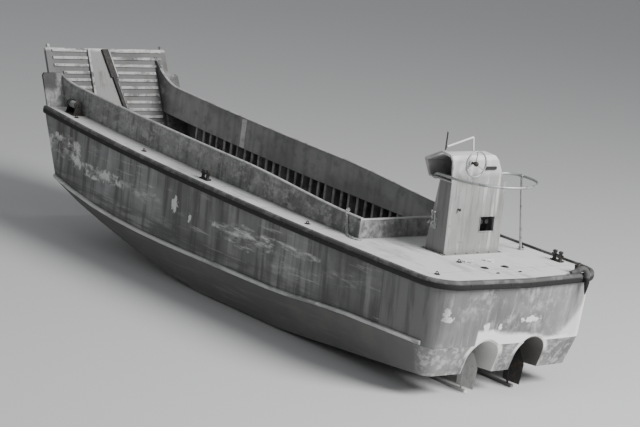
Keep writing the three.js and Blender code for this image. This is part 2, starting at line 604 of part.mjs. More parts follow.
// Web frames between the well's edge and the hull's side, from the bottom plating up to the deck.
const FRAMES = { from: -2760, step: 620, count: 12, thick: 50, clear: 8 };
function frame(x) {
  const faces = [x - FRAMES.thick / 2, x + FRAMES.thick / 2];
  const z0 = Math.max(...faces.map((v) => onBottom(v)[1]));
  const z1 = Math.min(...faces.map(sheer)) - 1;
  const bend = heightOn(knuckle, x);
  const reach = (z) => [Math.min(...faces.map((v) => inside(v, z))) - FRAMES.clear, z];
  const edge = WELL_HALF + SEAT;
  return plateYZ([[edge, z0], reach(z0), reach(bend), reach(z1), [edge, z1]], ...faces);
}
// The carling under the deck's inner edge carries the frames' heads.
function carling() {
  const first = FRAMES.from;
  const last = FRAMES.from + (FRAMES.count - 1) * FRAMES.step;
  const top = [first, -1700, -900, 400, 1100, 1800, 2500, 3200, last].map((x) => [x, sheer(x) - 8]);
  return plateXZ([...top, ...[...top].reverse().map(([x, z]) => [x, z - 60])], WELL_HALF + 6, WELL_HALF + 60);
}
const frames = Array.from({ length: FRAMES.count }, (_, k) => frame(FRAMES.from + k * FRAMES.step));
const framesPort = join([carling(), ...frames]);
add('side_frames_port', framesPort, 'well');
add('side_frames_starboard', mirrored(framesPort), 'well');
function bulkhead() {
  const x0 = WELL_AFT - 40;
  const levels = [bottomAt(WELL_AFT) + PLATE + 14, 500, 760, sheer(x0) - 1];
  const right = levels.map((z) => [Math.min(inside(x0, z), inside(WELL_AFT, z)) - 8, z]);
  const left = right.map(([y, z]) => [-y, z]).reverse();
  return plateYZ([...right, ...left], x0, WELL_AFT - SEAT);
}
add('well_bulkhead', bulkhead(), 'well');

// Ramp with its hinge lugs, cleats and guide bars.
const LUG = { r: 32, pin: 15, bore: 15.7, thick: 30, gap: 5 };
const LUG_PLACES = [-900, -330, 330, 900];
const hingeAt = rampPoint(0, HINGE_OUT);
const hingeBar = (y0, y1, r) => bar([hingeAt[0], y0, hingeAt[1]], [hingeAt[0], y1, hingeAt[1]], r, 16);
function rampPanel() {
  const slab = rampBox(20, RAMP_TOP, -RAMP_HALF, RAMP_HALF, RAMP_GAP, RAMP_GAP + RAMP_THICK);
  const notchHalf = LUG.thick / 2 + LUG.gap;
  const notches = LUG_PLACES.map((y) => rampBox(-50, 44, y - notchHalf, y + notchHalf, 0, 200));
  const lugs = LUG_PLACES.flatMap((y) => [-1, 1].map((s) => {
    const near = y + s * notchHalf;
    const far = near + s * LUG.thick;
    const [y0, y1] = [Math.min(near, far), Math.max(near, far)];
    return join([hingeBar(y0, y1, LUG.r), rampBox(0, 60, y0, y1, HINGE_OUT - 30, HINGE_OUT + 24)]);
  }));
  const posts = [-1, 1].map((s) => rampBox(RAMP_TOP - 10, RAMP_TOP + RAMP_POST, s * 1200 - 25, s * 1200 + 25,
    RAMP_GAP + 5, RAMP_GAP + 50));
  const whole = join([cut(slab, ...notches), ...lugs, ...posts, ...rampCleats()]);
  return cut(whole, hingeBar(-1300, 1300, LUG.bore));
}
const CLEATS = { from: 190, step: 135, count: 16, high: 50, proud: 26, inner: 440, outer: 980 };
// The slanting bar on the ramp's inner face: where its middle lies across the ramp, up the ramp.
const slantY = (u) => -195 + (u - 1180) * 0.229;
const SLANT = { from: 300, neck: 1750, to: 2270, thin: 35, thick: 65, clear: 30 };
function rampCleats() {
  const rows = [];
  for (let k = 0; k < CLEATS.count; k += 1) {
    const u = CLEATS.from + k * CLEATS.step;
    const halfBar = u + CLEATS.high > SLANT.neck ? SLANT.thick : SLANT.thin;
    const inner = slantY(u) - halfBar - SLANT.clear;
    for (const [y0, y1] of [[-CLEATS.outer, inner], [CLEATS.inner, CLEATS.outer]]) {
      rows.push(rampBox(u, u + CLEATS.high, y0, y1, RAMP_GAP - CLEATS.proud, RAMP_GAP + 5));
    }
  }
  return rows;
}
add('ramp_panel', rampPanel(), 'ramp');
// A plate on the ramp with its outline in the ramp's plane, as places up the ramp and across it.
function onRamp(points, w0, w1) {
  const plate = extrude(points, w1 - w0);
  const [s, c] = [Math.sin(RAMP_LEAN), Math.cos(RAMP_LEAN)];
  const [x, z] = rampPoint(0, w0);
  plate.applyMatrix4(new THREE.Matrix4().set(s, 0, c, x, 0, 1, 0, 0, c, 0, -s, z, 0, 0, 0, 1));
  return fromSolid(solid(plate));
}
const BARS = { half: 22, proud: 45, port: 400 };
const portBar = [[120, BARS.port - BARS.half], [RAMP_TOP - 20, BARS.port - BARS.half],
  [RAMP_TOP - 20, BARS.port + BARS.half], [120, BARS.port + BARS.half]];
const { from, neck, to, thin, thick } = SLANT;
const slantSide = (s) => [[from, slantY(from) + s * thin], [neck, slantY(neck) + s * thin],
  [neck, slantY(neck) + s * thick], [to, slantY(to) + s * thick]];
const slantBar = [...slantSide(-1), ...slantSide(1).reverse()];
for (const [name, outline] of [['ramp_guide_bar_port', portBar], ['ramp_guide_bar_starboard', slantBar]]) {
  add(name, onRamp(outline, RAMP_GAP - BARS.proud, RAMP_GAP - SEAT), 'iron');
}
function hingeBrackets() {
  const ears = LUG_PLACES.map((y) => join([
    hingeBar(y - LUG.thick / 2, y + LUG.thick / 2, LUG.r),
    rampBox(-60, 22, y - LUG.thick / 2, y + LUG.thick / 2, SEAT + 2, HINGE_OUT),
  ]));
  const strip = rampBox(-105, -40, -1000, 1000, SEAT, 14);
  return cut(join([strip, ...ears]), hingeBar(-1300, 1300, LUG.bore));
}
add('ramp_hinge_brackets', hingeBrackets(), 'iron');
add('ramp_hinge_pin', hingeBar(-960, 960, LUG.pin), 'galvanised');

// Ramp winch on the port side deck against the coaming.
const WINCH_X = 4600;
function winch() {
  const z = deckTop(WINCH_X) - 4;
  const y = WELL_HALF + 130;
  const body = [
    box(WINCH_X - 150, WINCH_X + 150, y - 110, y + 110, z, z + 20),
    box(WINCH_X - 140, WINCH_X - 110, y - 90, y + 90, z + 10, z + 260),
    box(WINCH_X + 110, WINCH_X + 140, y - 90, y + 90, z + 10, z + 260),
    bar([WINCH_X - 120, y, z + 160], [WINCH_X + 120, y, z + 160], 75, 16),
    bar([WINCH_X + 120, y, z + 160], [WINCH_X + 190, y, z + 160], 20, 12),
  ];
  return seated(join(body));
}
add('ramp_winch', winch(), 'iron');

// Console on the aft deck, its head, the steering wheel and the levers.
const CONSOLE = { aft: -4140, fore: -3720, lean: 120, port: 320, starboard: -780, high: 1060, wall: 40 };
const consoleFloor = deckTop(CONSOLE.fore);
const HOOD_FOOT = consoleFloor + CONSOLE.high + SEAT;
const RECESS = { y0: -620, y1: -330, z0: consoleFloor + 320, z1: consoleFloor + 550, deep: 100 };
function consoleBody() {
  const { aft, fore, lean, port, starboard: stbd, high, wall } = CONSOLE;
  const z0 = consoleFloor;
  const profile = (inset, foot) => [
    [aft + inset, foot], [fore - inset, foot],
    [fore - lean - inset, z0 + high - inset], [aft + wall + inset, z0 + high - inset],
  ];
  const recess = box(aft - 50, aft + RECESS.deep, RECESS.y0, RECESS.y1, RECESS.z0, RECESS.z1);
  const hollow = plateXZ(profile(wall, z0 - 90), stbd + wall, port - wall);
  return seated(cut(plateXZ(profile(0, z0 - 40), stbd, port), hollow, recess));
}
add('console_body', consoleBody(), 'console');
// The head is a sheet hood, hollow and open at its port end, with a boss for the wheel's shaft.
const WHEEL = { x: -4220, y: 0, z: HOOD_FOOT + 303, r: 190, rim: 14, shaft: 18 };
const ROD = { x: -3800, y: 250, top: HOOD_FOOT + 702, r: 11, bracket: 14 };
const RAIL_PORT = { x: -3760, y: 335, lug: 28 };
const RAIL_STARBOARD = { x: -3900, y: CONSOLE.starboard + 23 };
function consoleHead() {
  const z = (up) => HOOD_FOOT + up;
  const profile = [
    [-4100, z(0)], [-4080, z(322)], [-4020, z(388)], [-3830, z(408)], [-3480, z(238)], [-3600, z(0)],
  ];
  const across = [[310, z(0)], [330, z(342)], [270, z(412)], [-500, z(412)], [-560, z(372)], [-730, z(0)]];
  const hollow = [
    [-4072, z(28)], [-4052, z(312)], [-4006, z(360)], [-3836, z(378)], [-3522, z(226)], [-3622, z(28)],
  ];
  const hollowAcross = [[400, z(0)], [400, z(412)], [-482, z(412)], [-532, z(366)], [-694, z(0)]];
  const [x0, x1] = [-4300, -3300];
  const hood = cut(
    join([common(plateXZ(profile, -800, 400), plateYZ(across, x0, x1)),
      bar([-4130, WHEEL.y, WHEEL.z], [-4065, WHEEL.y, WHEEL.z], 2 * WHEEL.shaft, 16)]),
    common(plateXZ(hollow, -800, 400), plateYZ(hollowAcross, x0, x1)),
    bar([-4200, WHEEL.y, WHEEL.z], [-4000, WHEEL.y, WHEEL.z], WHEEL.shaft + 0.8, 16),
  );
  const bend = [ROD.x, -270, z(612)];
  const lug = box(RAIL_PORT.x - 32, RAIL_PORT.x + 32, 290, RAIL_PORT.y + 24, z(0), z(RAIL_PORT.lug));
  return join([
    hood, lug,
    bar([ROD.x, ROD.y, z(385)], [ROD.x, ROD.y, ROD.top], ROD.r, 8),
    bar([ROD.x, ROD.y, z(470)], bend, ROD.bracket, 8),
    bar(bend, [ROD.x, -310, z(385)], ROD.bracket, 8),
  ]);
}
add('console_head', consoleHead(), 'console');
function wheelRing() {
  const ring = new THREE.TorusGeometry(WHEEL.r, WHEEL.rim, 8, 24);
  const spokes = [0, 1, 2].map((k) => {
    const angle = (k * 2 * Math.PI) / 3 + Math.PI / 2;
    return bar([0, 0, 0], [WHEEL.r * Math.cos(angle), WHEEL.r * Math.sin(angle), 0], 9, 8);
  });
  const hub = bar([0, 0, -22], [0, 0, 22], 34, 16);
  const made = join([ring, hub, ...spokes]);
  made.rotateY(Math.PI / 2);
  made.translate(WHEEL.x, WHEEL.y, WHEEL.z);
  return join([made, bar([WHEEL.x, WHEEL.y, WHEEL.z], [-4050, WHEEL.y, WHEEL.z], WHEEL.shaft, 16)]);
}
add('steering_wheel', wheelRing(), 'iron');

// Guard rail round the place behind the wheel, from one side of the console to the other, on
// one stanchion.
const RAIL = { cx: -4200, cy: -372, halfLong: 630, halfWide: 712, z: HOOD_FOOT + 82, r: 21 };
function guardRail() {
  const steps = 12;
  const bow = Array.from({ length: steps + 1 }, (_, k) => {
    const angle = (Math.PI * k) / steps;
    return [RAIL.cx - RAIL.halfLong * Math.sin(angle), RAIL.cy + RAIL.halfWide * Math.cos(angle), RAIL.z];
  });
  const portEnd = [RAIL_PORT.x, RAIL_PORT.y, HOOD_FOOT + RAIL_PORT.lug + SEAT];
  const starboardEnd = [RAIL_STARBOARD.x, RAIL_STARBOARD.y, HOOD_FOOT];
  const above = ([x, y, z], up) => [x, y, z + up];
  const portRun = [
    portEnd, above(portEnd, 25), [-3800, RAIL_PORT.y + 8, RAIL.z - 6], [-3950, RAIL_PORT.y + 4, RAIL.z],
  ];
  const starboardRun = [
    [-4050, -1075, RAIL.z], [-3930, -980, RAIL.z], [-3890, -860, RAIL.z - 4],
    above(starboardEnd, 50), starboardEnd,
  ];
  const route = [...portRun, ...bow, ...starboardRun];
  const curve = new THREE.CatmullRomCurve3(route.map((p) => new THREE.Vector3(...p)));
  const section = new THREE.Shape(circle(RAIL.r, 8).map(([u, v]) => new THREE.Vector2(u, v)));
  const tube = new THREE.ExtrudeGeometry(section, { steps: 56, bevelEnabled: false, extrudePath: curve });
  const foot = [-4080, -1300, deckTop(-4080)];
  return seated(join([
    tube,
    bar([foot[0], foot[1], foot[2] - 20], [-4100, -1072, RAIL.z], RAIL.r - 1, 8),
    bar([foot[0], foot[1], foot[2] - 20], [foot[0], foot[1], foot[2] + 14], 45, 12),
  ]));
}
add('guard_rail', guardRail(), 'galvanised');

// Flush hatch lid over the stern compartment, resting on the ledge, hinged on its fore edge.
const HINGE = { r: 13, bore: 6.6, pin: 6, z: deckTop(HATCH.x1) + 15, long: 70, gap: 5 };
const LID_GAP = 8;
const hingeRod = (y0, y1, r) => bar([HATCH.x1, y0, HINGE.z], [HATCH.x1, y1, HINGE.z], r, 12);
function hatchLid() {
  const low = HATCH.ledge + SEAT;
  const top = deckTop(HATCH.x1) + 2;
  const half = HATCH.half - LID_GAP;
  const lid = box(HATCH.x0 + LID_GAP, HATCH.x1 - LID_GAP, -half, half, low, top);
  const knuckles = [-1, 1].map((s) => join([
    hingeRod(s * 200 - HINGE.long / 2, s * 200 + HINGE.long / 2, HINGE.r),
    box(HATCH.x1 - 90, HATCH.x1 - 4, s * 200 - HINGE.long / 2, s * 200 + HINGE.long / 2, top - 3, top + 12),
  ]));
  return cut(join([lid, ...knuckles]), hingeRod(-400, 400, HINGE.bore));
}
add('hatch_lid', hatchLid(), 'deck');
add('aft_deck', aftDeck(), 'deck');

// Two engines under the aft deck, each one block, on bearers that stand clear of the tunnels.
const ENGINE = { x0: -4060, x1: -3220, half: 325, z0: 720, z1: 1400 };
function engineBearers() {
  const { x0, x1, z0 } = ENGINE;
  const outline = [onBottom(x0 - 20), onBottom(-3600), onBottom(x1 + 20), [x1 + 20, z0], [x0 - 20, z0]];
  const inner = plateXZ(outline, 90, 138);
  const outer = plateXZ(outline, 782, 830);
  const ties = [x0, x1 - 40].map((x) => box(x, x + 40, -830, 830, z0 - 80, z0));
  return join([inner, outer, mirrored(inner), mirrored(outer), ...ties]);
}
add('engine_bearers', engineBearers(), 'bottom');
const engineSides = [GEAR_Y - ENGINE.half, GEAR_Y + ENGINE.half];
const engine = box(ENGINE.x0, ENGINE.x1, ...engineSides, ENGINE.z0 + SEAT, ENGINE.z1);
add('engine_block_port', engine, 'iron');
add('engine_block_starboard', mirrored(engine), 'iron');

// Bollards on the side decks and at the starboard quarter.
const BOLLARDS = [
  { name: 'bollard_mid_port', x: 450, y: 1330 },
  { name: 'bollard_mid_starboard', x: 450, y: -1330 },
  { name: 'bollard_aft_starboard', x: -4760, y: -1400 },
];
function bollard({ x, y }) {
  const z = deckTop(x);
  return seated(join([
    box(x - 110, x + 110, y - 50, y + 50, z - 10, z + 16),
    bar([x - 60, y, z + 8], [x - 60, y, z + 150], 28, 12),
    bar([x + 60, y, z + 8], [x + 60, y, z + 150], 28, 12),
    bar([x - 120, y, z + 110], [x + 120, y, z + 110], 14, 8),
  ]));
}
for (const row of BOLLARDS) add(row.name, bollard(row), 'iron');

// Engine levers on the console's port face, on one base plate.
function levers() {
  const y = CONSOLE.port + SEAT;
  const z = consoleFloor + 400;
  const middle = -3850;
  const plate = box(middle - 60, middle + 60, y, y + 14, z - 70, z + 90);
  const arms = [middle - 30, middle + 30].map((x) => join([
    bar([x, y + 10, z], [x - 20, y + 60, z + 170], 9, 8),
    bar([x - 20, y + 60, z + 160], [x - 23, y + 68, z + 205], 17, 10),
  ]));
  return join([plate, ...arms]);
}
add('engine_levers', levers(), 'iron');

// Stern lantern's pipe socket at the starboard quarter, with the hook beside it.
const PIPE = { x: -5420, y: -1130 };
function quarterPipe() {
  const { x, y } = PIPE;
  const z = deckTop(x);
  return seated(join([
    box(x - 70, x + 70, y - 60, y + 60, z - 10, z + 14),
    bar([x, y, z - 5], [x, y, z + 120], 24, 12),
    bar([x - 10, y + 10, z + 105], [x + 60, y - 130, z + 90], 18, 10),
  ]));
}
add('quarter_pipe', quarterPipe(), 'iron');

export default craft;
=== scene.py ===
"""A ramped landing craft, open well forward and steering console aft, on a plain pale floor."""
import json
import bmesh
import bpy
import numpy as np
from mathutils import Matrix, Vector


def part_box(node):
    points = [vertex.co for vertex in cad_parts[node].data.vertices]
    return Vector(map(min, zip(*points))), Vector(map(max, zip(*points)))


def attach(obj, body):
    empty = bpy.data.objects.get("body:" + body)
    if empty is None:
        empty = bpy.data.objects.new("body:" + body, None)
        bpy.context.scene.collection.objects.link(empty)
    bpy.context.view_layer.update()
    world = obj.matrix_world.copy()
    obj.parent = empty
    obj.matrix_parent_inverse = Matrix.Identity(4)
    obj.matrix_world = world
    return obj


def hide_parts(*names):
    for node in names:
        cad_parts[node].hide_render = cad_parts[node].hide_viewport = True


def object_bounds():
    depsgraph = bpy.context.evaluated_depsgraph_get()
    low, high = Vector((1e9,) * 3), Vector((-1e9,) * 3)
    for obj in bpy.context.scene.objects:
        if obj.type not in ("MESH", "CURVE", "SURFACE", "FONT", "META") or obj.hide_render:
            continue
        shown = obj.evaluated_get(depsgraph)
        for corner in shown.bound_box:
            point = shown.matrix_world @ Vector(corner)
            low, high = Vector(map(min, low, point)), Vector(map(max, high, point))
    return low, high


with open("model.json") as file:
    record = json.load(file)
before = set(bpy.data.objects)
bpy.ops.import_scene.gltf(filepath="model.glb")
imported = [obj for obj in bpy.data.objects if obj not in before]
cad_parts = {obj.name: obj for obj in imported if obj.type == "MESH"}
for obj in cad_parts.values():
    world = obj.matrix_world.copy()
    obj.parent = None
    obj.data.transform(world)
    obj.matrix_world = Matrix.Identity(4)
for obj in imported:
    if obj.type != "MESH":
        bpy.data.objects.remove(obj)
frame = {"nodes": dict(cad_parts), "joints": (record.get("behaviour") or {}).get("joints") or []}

cad_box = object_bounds()

# The view: an eye 8.5 m up, off the port quarter, looking down on the deck. The craft lies a few
# degrees over, which the camera's roll gives. The lens is long, so that the craft fills the picture.
EYE = np.array((-26.5187, 21.5467, 8.4769))
HEADING, DIP, ROLL = -0.88474, 0.14329, -0.16527
WIDE_LENS_PX = 889.0
PICTURE_MIDDLE_PX = (320.0, 213.5)
CRAFT_MIDDLE_PX = (149.0, 242.0)
LENS_MM = 122.0


def view_axes():
    """Right, down and forward: the level view rolled about forward, then turned to the craft's middle."""
    forward = np.array((np.cos(HEADING) * np.cos(DIP), np.sin(HEADING) * np.cos(DIP), -np.sin(DIP)))
    right = np.array((np.sin(HEADING), -np.cos(HEADING), 0.0))
    down = np.cross(forward, right)
    rolled_right = np.cos(ROLL) * right + np.sin(ROLL) * down
    rolled_down = -np.sin(ROLL) * right + np.cos(ROLL) * down
    off = (np.array(CRAFT_MIDDLE_PX) - PICTURE_MIDDLE_PX) / WIDE_LENS_PX
    aimed = forward + off[0] * rolled_right + off[1] * rolled_down
    aimed /= np.linalg.norm(aimed)
    new_right = rolled_right - (rolled_right @ aimed) * aimed
    new_right /= np.linalg.norm(new_right)
    return new_right, np.cross(aimed, new_right), aimed


def set_at(thing, place, side, up, back):
    """Links an object, set at a place along three axes."""
    placed = np.eye(4)
    placed[:3] = np.column_stack((side, up, back, place))
    thing.matrix_world = Matrix(placed.tolist())
    bpy.context.scene.collection.objects.link(thing)


camera = bpy.data.objects.new("camera", bpy.data.cameras.new("camera"))
camera.data.sensor_width = 36.0
camera.data.lens = LENS_MM
camera.data.clip_end = 1000.0
view_right, view_down, view_forward = view_axes()
set_at(camera, EYE, view_right, -view_down, -view_forward)
bpy.context.scene.camera = camera


# Floor and light: a pale level floor, a grey sky all round, a broad soft lamp high up, nearly astern,
# and a weak one to port, so that the decks and the transom are the lightest faces.
FLOOR_HALF, FLOOR_GREY = 260.0, 0.62
SKY_COLOUR, SKY_STRENGTH = (0.86, 0.88, 0.9, 1.0), 0.36


def lamp(name, place, aim, wide, watts):
    """A round area light at a place, turned to face another."""
    light = bpy.data.objects.new(name, bpy.data.lights.new(name, "AREA"))
    light.data.shape = "DISK"
    light.data.size = wide
    light.data.energy = watts
    back = np.array(place, float) - np.array(aim, float)
    back /= np.linalg.norm(back)
    side = np.cross((0.0, 0.0, 1.0), back)
    side /= np.linalg.norm(side)
    set_at(light, place, side, np.cross(back, side), back)


lamp("key_lamp", (-24.0, -7.0, 20.0), (-1.0, 0.0, 1.0), 15.0, 13500.0)
lamp("fill_lamp", (8.0, 22.0, 16.0), (1.0, 0.0, 1.0), 12.0, 200.0)
sky = bpy.data.worlds.new("sky")
bpy.context.scene.world = sky
sky.use_nodes = True
sky.node_tree.nodes["Background"].inputs["Color"].default_value = SKY_COLOUR
sky.node_tree.nodes["Background"].inputs["Strength"].default_value = SKY_STRENGTH

floor_mesh = bpy.data.meshes.new("floor")
floor_corners = FLOOR_HALF * np.array(((-1, -1, 0), (1, -1, 0), (1, 1, 0), (-1, 1, 0)), float)
floor_mesh.from_pydata(floor_corners.tolist(), [], [(0, 1, 2, 3)])
floor = bpy.data.objects.new("floor", floor_mesh)
bpy.context.scene.collection.objects.link(floor)
floor_finish = bpy.data.materials.new("floor_finish")
floor_finish.use_nodes = True
floor_shader = floor_finish.node_tree.nodes["Principled BSDF"]
floor_shader.inputs["Base Color"].default_value = (FLOOR_GREY, FLOOR_GREY, FLOOR_GREY, 1.0)
floor_shader.inputs["Roughness"].default_value = 0.9
floor_mesh.materials.append(floor_finish)


# Side plating: steel sheet in matt grey, scraped by other hulls lying alongside, with rust and
# dirt run down from the deck edge and long horizontal rubs above the knuckle.
SIDE_GREY = (0.25, 0.251, 0.25)
SIDE_DARK = (0.07, 0.07, 0.071)
SCRAPE_GREY = (0.7, 0.7, 0.69)
RUST = (0.12, 0.09, 0.07)
SHEER = (1.810, 0.032, 0.0033)
SIDE_SCRAPES = (
    ((4.35, 1.55, 1.55), (0.7, 0.4, 0.2)),
    ((3.2, 1.57, 1.33), (0.75, 0.4, 0.13)),
    ((1.75, 1.58, 1.42), (0.5, 0.4, 0.15)),
    ((-1.0, 1.58, 1.3), (0.8, 0.4, 0.18)),
    ((-2.2, 1.58, 1.4), (0.8, 0.4, 0.07)),
)
SIDE_CHIPS = (
    ((0.85, 1.58, 1.37), (0.08, 0.4, 0.13)),
    ((0.42, 1.58, 1.24), (0.04, 0.4, 0.08)),
)


class Coats:
    """A material: a ground colour, coats laid over it through masks, and relief from heights in metres.

    A mask is worked out from the place on the craft, and is 1 where its coat lies and 0 elsewhere.
    """

    def __init__(self, name, colour, roughness, metallic=0.0):
        self.material = bpy.data.materials.new(name)
        self.material.use_nodes = True
        self.tree = self.material.node_tree
        self.shader = self.tree.nodes["Principled BSDF"]
        self.shader.inputs["Base Color"].default_value = (*colour, 1.0)
        self.shader.inputs["Roughness"].default_value = roughness
        self.shader.inputs["Metallic"].default_value = metallic
        self.colour, self.roughness, self.bump = (*colour, 1.0), None, None
        self.place = self.node("ShaderNodeTexCoord").outputs["Object"]
        self.parts = self.node("ShaderNodeSeparateXYZ", self.place).outputs

    def feed(self, socket, value):
        if isinstance(value, bpy.types.NodeSocket):
            self.tree.links.new(value, socket)
        else:
            socket.default_value = value

    def node(self, kind, *fed, **settings):
        """A node with its settings, and its first inputs fed with sockets or numbers."""
        made = self.tree.nodes.new(kind)
        for key, value in settings.items():
            setattr(made, key, value)
        for socket, value in zip(made.inputs, fed):
            self.feed(socket, value)
        return made

    def maths(self, operation, *values):
        return self.node("ShaderNodeMath", *values, operation=operation).outputs[0]

    def vector(self, operation, *values):
        return self.node("ShaderNodeVectorMath", *values, operation=operation).outputs

    def axis(self, letter):
        """The place along one axis, in metres."""
        return self.parts["XYZ".index(letter)]

    def cloud(self, scale, stretch=(1, 1, 1), shift=(0, 0, 0), detail=4.0, rough=0.55):
        """Soft noise from 0 to 1, with so many lumps to the metre."""
        mapping = self.node("ShaderNodeMapping", self.place, shift, (0, 0, 0), stretch)
        noise = self.node("ShaderNodeTexNoise", mapping.outputs[0])
        noise.inputs["Scale"].default_value = scale
        noise.inputs["Detail"].default_value = detail
        noise.inputs["Roughness"].default_value = rough
        return noise.outputs[0]

    def step(self, value, low, high):
        """0 below low, 1 above high, smooth between; low may lie above high."""
        first = float(high < low)
        ends = (min(low, high), max(low, high), first, 1.0 - first)
        eased = self.node("ShaderNodeMapRange", value, *ends, interpolation_type="SMOOTHSTEP")
        return eased.outputs["Result"]

    def patches(self, scale, low, high, **how):
        """Lumps of noise, from where it passes low to where it passes high."""
        return self.step(self.cloud(scale, **how), low, high)

    def runs(self, seed, low, high, across=7.0):
        """Stains that run down: noise that is fine along the craft and long in height."""
        how = {"stretch": (1.0, 1.0, 0.07), "shift": (seed, seed, 0.0), "detail": 5.0, "rough": 0.6}
        return self.patches(across, low, high, **how)

    def along(self, letter, low, high):
        return self.step(self.axis(letter), low, high)

    def torn(self, letter, scale, reach, detail=6.0):
        """The place along an axis, moved by noise by up to the reach, for torn edges."""
        return self.maths("MULTIPLY_ADD", self.cloud(scale, detail=detail), reach, self.axis(letter))

    def both(self, *masks):
        whole = masks[0]
        for mask in masks[1:]:
            whole = self.maths("MULTIPLY", whole, mask)
        return whole

    def spot(self, middle, reach, ragged=0.35, lumps=9.0):
        """1 inside an ellipsoid about a place, where the distance in reaches, plus noise, stays under 1."""
        off = self.vector("SUBTRACT", self.place, middle)[0]
        distance = self.vector("LENGTH", self.vector("DIVIDE", off, reach)[0])["Value"]
        noise = self.maths("MULTIPLY_ADD", self.cloud(lumps, detail=5.0), 2.0 * ragged, -ragged)
        return self.step(self.maths("ADD", distance, noise), 1.05, 0.85)

    def lay(self, mask, colour, strength=1.0):
        """A coat of another colour over what is there, as thick as its mask."""
        mix = self.node("ShaderNodeMix", data_type="RGBA")
        self.feed(mix.inputs[0], self.maths("MULTIPLY", mask, strength))
        self.feed(mix.inputs[6], self.colour)
        mix.inputs[7].default_value = (*colour, 1.0)
        self.colour = mix.outputs[2]
        return self

    def relief(self, height, depth):
        """Raises the surface by so many metres where the height is 1."""
        bump = self.node("ShaderNodeBump")
        bump.inputs["Strength"].default_value = 1.0
        bump.inputs["Distance"].default_value = depth
        self.feed(bump.inputs["Height"], height)
        if self.bump:
            self.tree.links.new(self.bump, bump.inputs["Normal"])
        self.bump = bump.outputs[0]
        return self

    def grained(self, grain, low, high, depth):
        """A grain: roughness from low where it is 0 to high where it is 1, and relief of so many metres."""
        self.roughness = self.node("ShaderNodeMapRange", grain, 0.0, 1.0, low, high).outputs["Result"]
        return self.relief(grain, depth)

    def done(self):
        fed = {"Base Color": self.colour, "Roughness": self.roughness, "Normal": self.bump}
        for socket, value in fed.items():
            if isinstance(value, bpy.types.NodeSocket):
                self.tree.links.new(value, self.shader.inputs[socket])
        return self.material


SMOOTH_ANGLE = np.radians(35.0)
ROUND_EDGE = 0.004


def smooth_shading():
    """Node steps that close a node's loose triangles up and shade them smooth, but for its sharp edges."""
    tree = bpy.data.node_groups.new("smooth_shading", "GeometryNodeTree")
    for way in ("INPUT", "OUTPUT"):
        tree.interface.new_socket("Geometry", in_out=way, socket_type="NodeSocketGeometry")
    first, last = tree.nodes.new("NodeGroupInput"), tree.nodes.new("NodeGroupOutput")
    merge = tree.nodes.new("GeometryNodeMergeByDistance")
    merge.inputs["Distance"].default_value = 0.00005
    bend = tree.nodes.new("GeometryNodeInputMeshEdgeAngle")
    gentle = tree.nodes.new("FunctionNodeCompare")
    gentle.operation = "LESS_THAN"
    gentle.inputs[1].default_value = SMOOTH_ANGLE
    faces, edges = (tree.nodes.new("GeometryNodeSetShadeSmooth") for _ in range(2))
    edges.domain = "EDGE"
    tree.links.new(bend.outputs["Unsigned Angle"], gentle.inputs[0])
    tree.links.new(gentle.outputs[0], edges.inputs["Shade Smooth"])
    for before, after in ((first, merge), (merge, faces), (faces, edges), (edges, last)):
        tree.links.new(before.outputs["Geometry"], after.inputs["Geometry"])
    return tree


smooth_steps = smooth_shading()


def round_edges(made, width):
    """Rounds an object's sharp edges by so many metres."""
    bevel = made.modifiers.new("round", "BEVEL")
    bevel.width = width
    bevel.segments = 2
    bevel.limit_method = "ANGLE"
    bevel.angle_limit = SMOOTH_ANGLE
    bevel.harden_normals = True


def finish(material, *nodes, edge=ROUND_EDGE):
    """Gives CAD nodes their finish, smooth shading and rounded edges."""
    for name in nodes:
        node = frame["nodes"][name]
        node.data.materials.clear()
        node.data.materials.append(material)
        node.modifiers.new("smooth", "NODES").node_group = smooth_steps
        if edge:
            round_edges(node, edge)


def below_sheer(coats):
    """Height under the deck edge: the deck edge's curve in x, less z."""
    curve = coats.maths("MULTIPLY_ADD", coats.axis("X"), SHEER[2], SHEER[1])
    curve = coats.maths("MULTIPLY_ADD", curve, coats.axis("X"), SHEER[0])
    return coats.maths("SUBTRACT", curve, coats.axis("Z"))


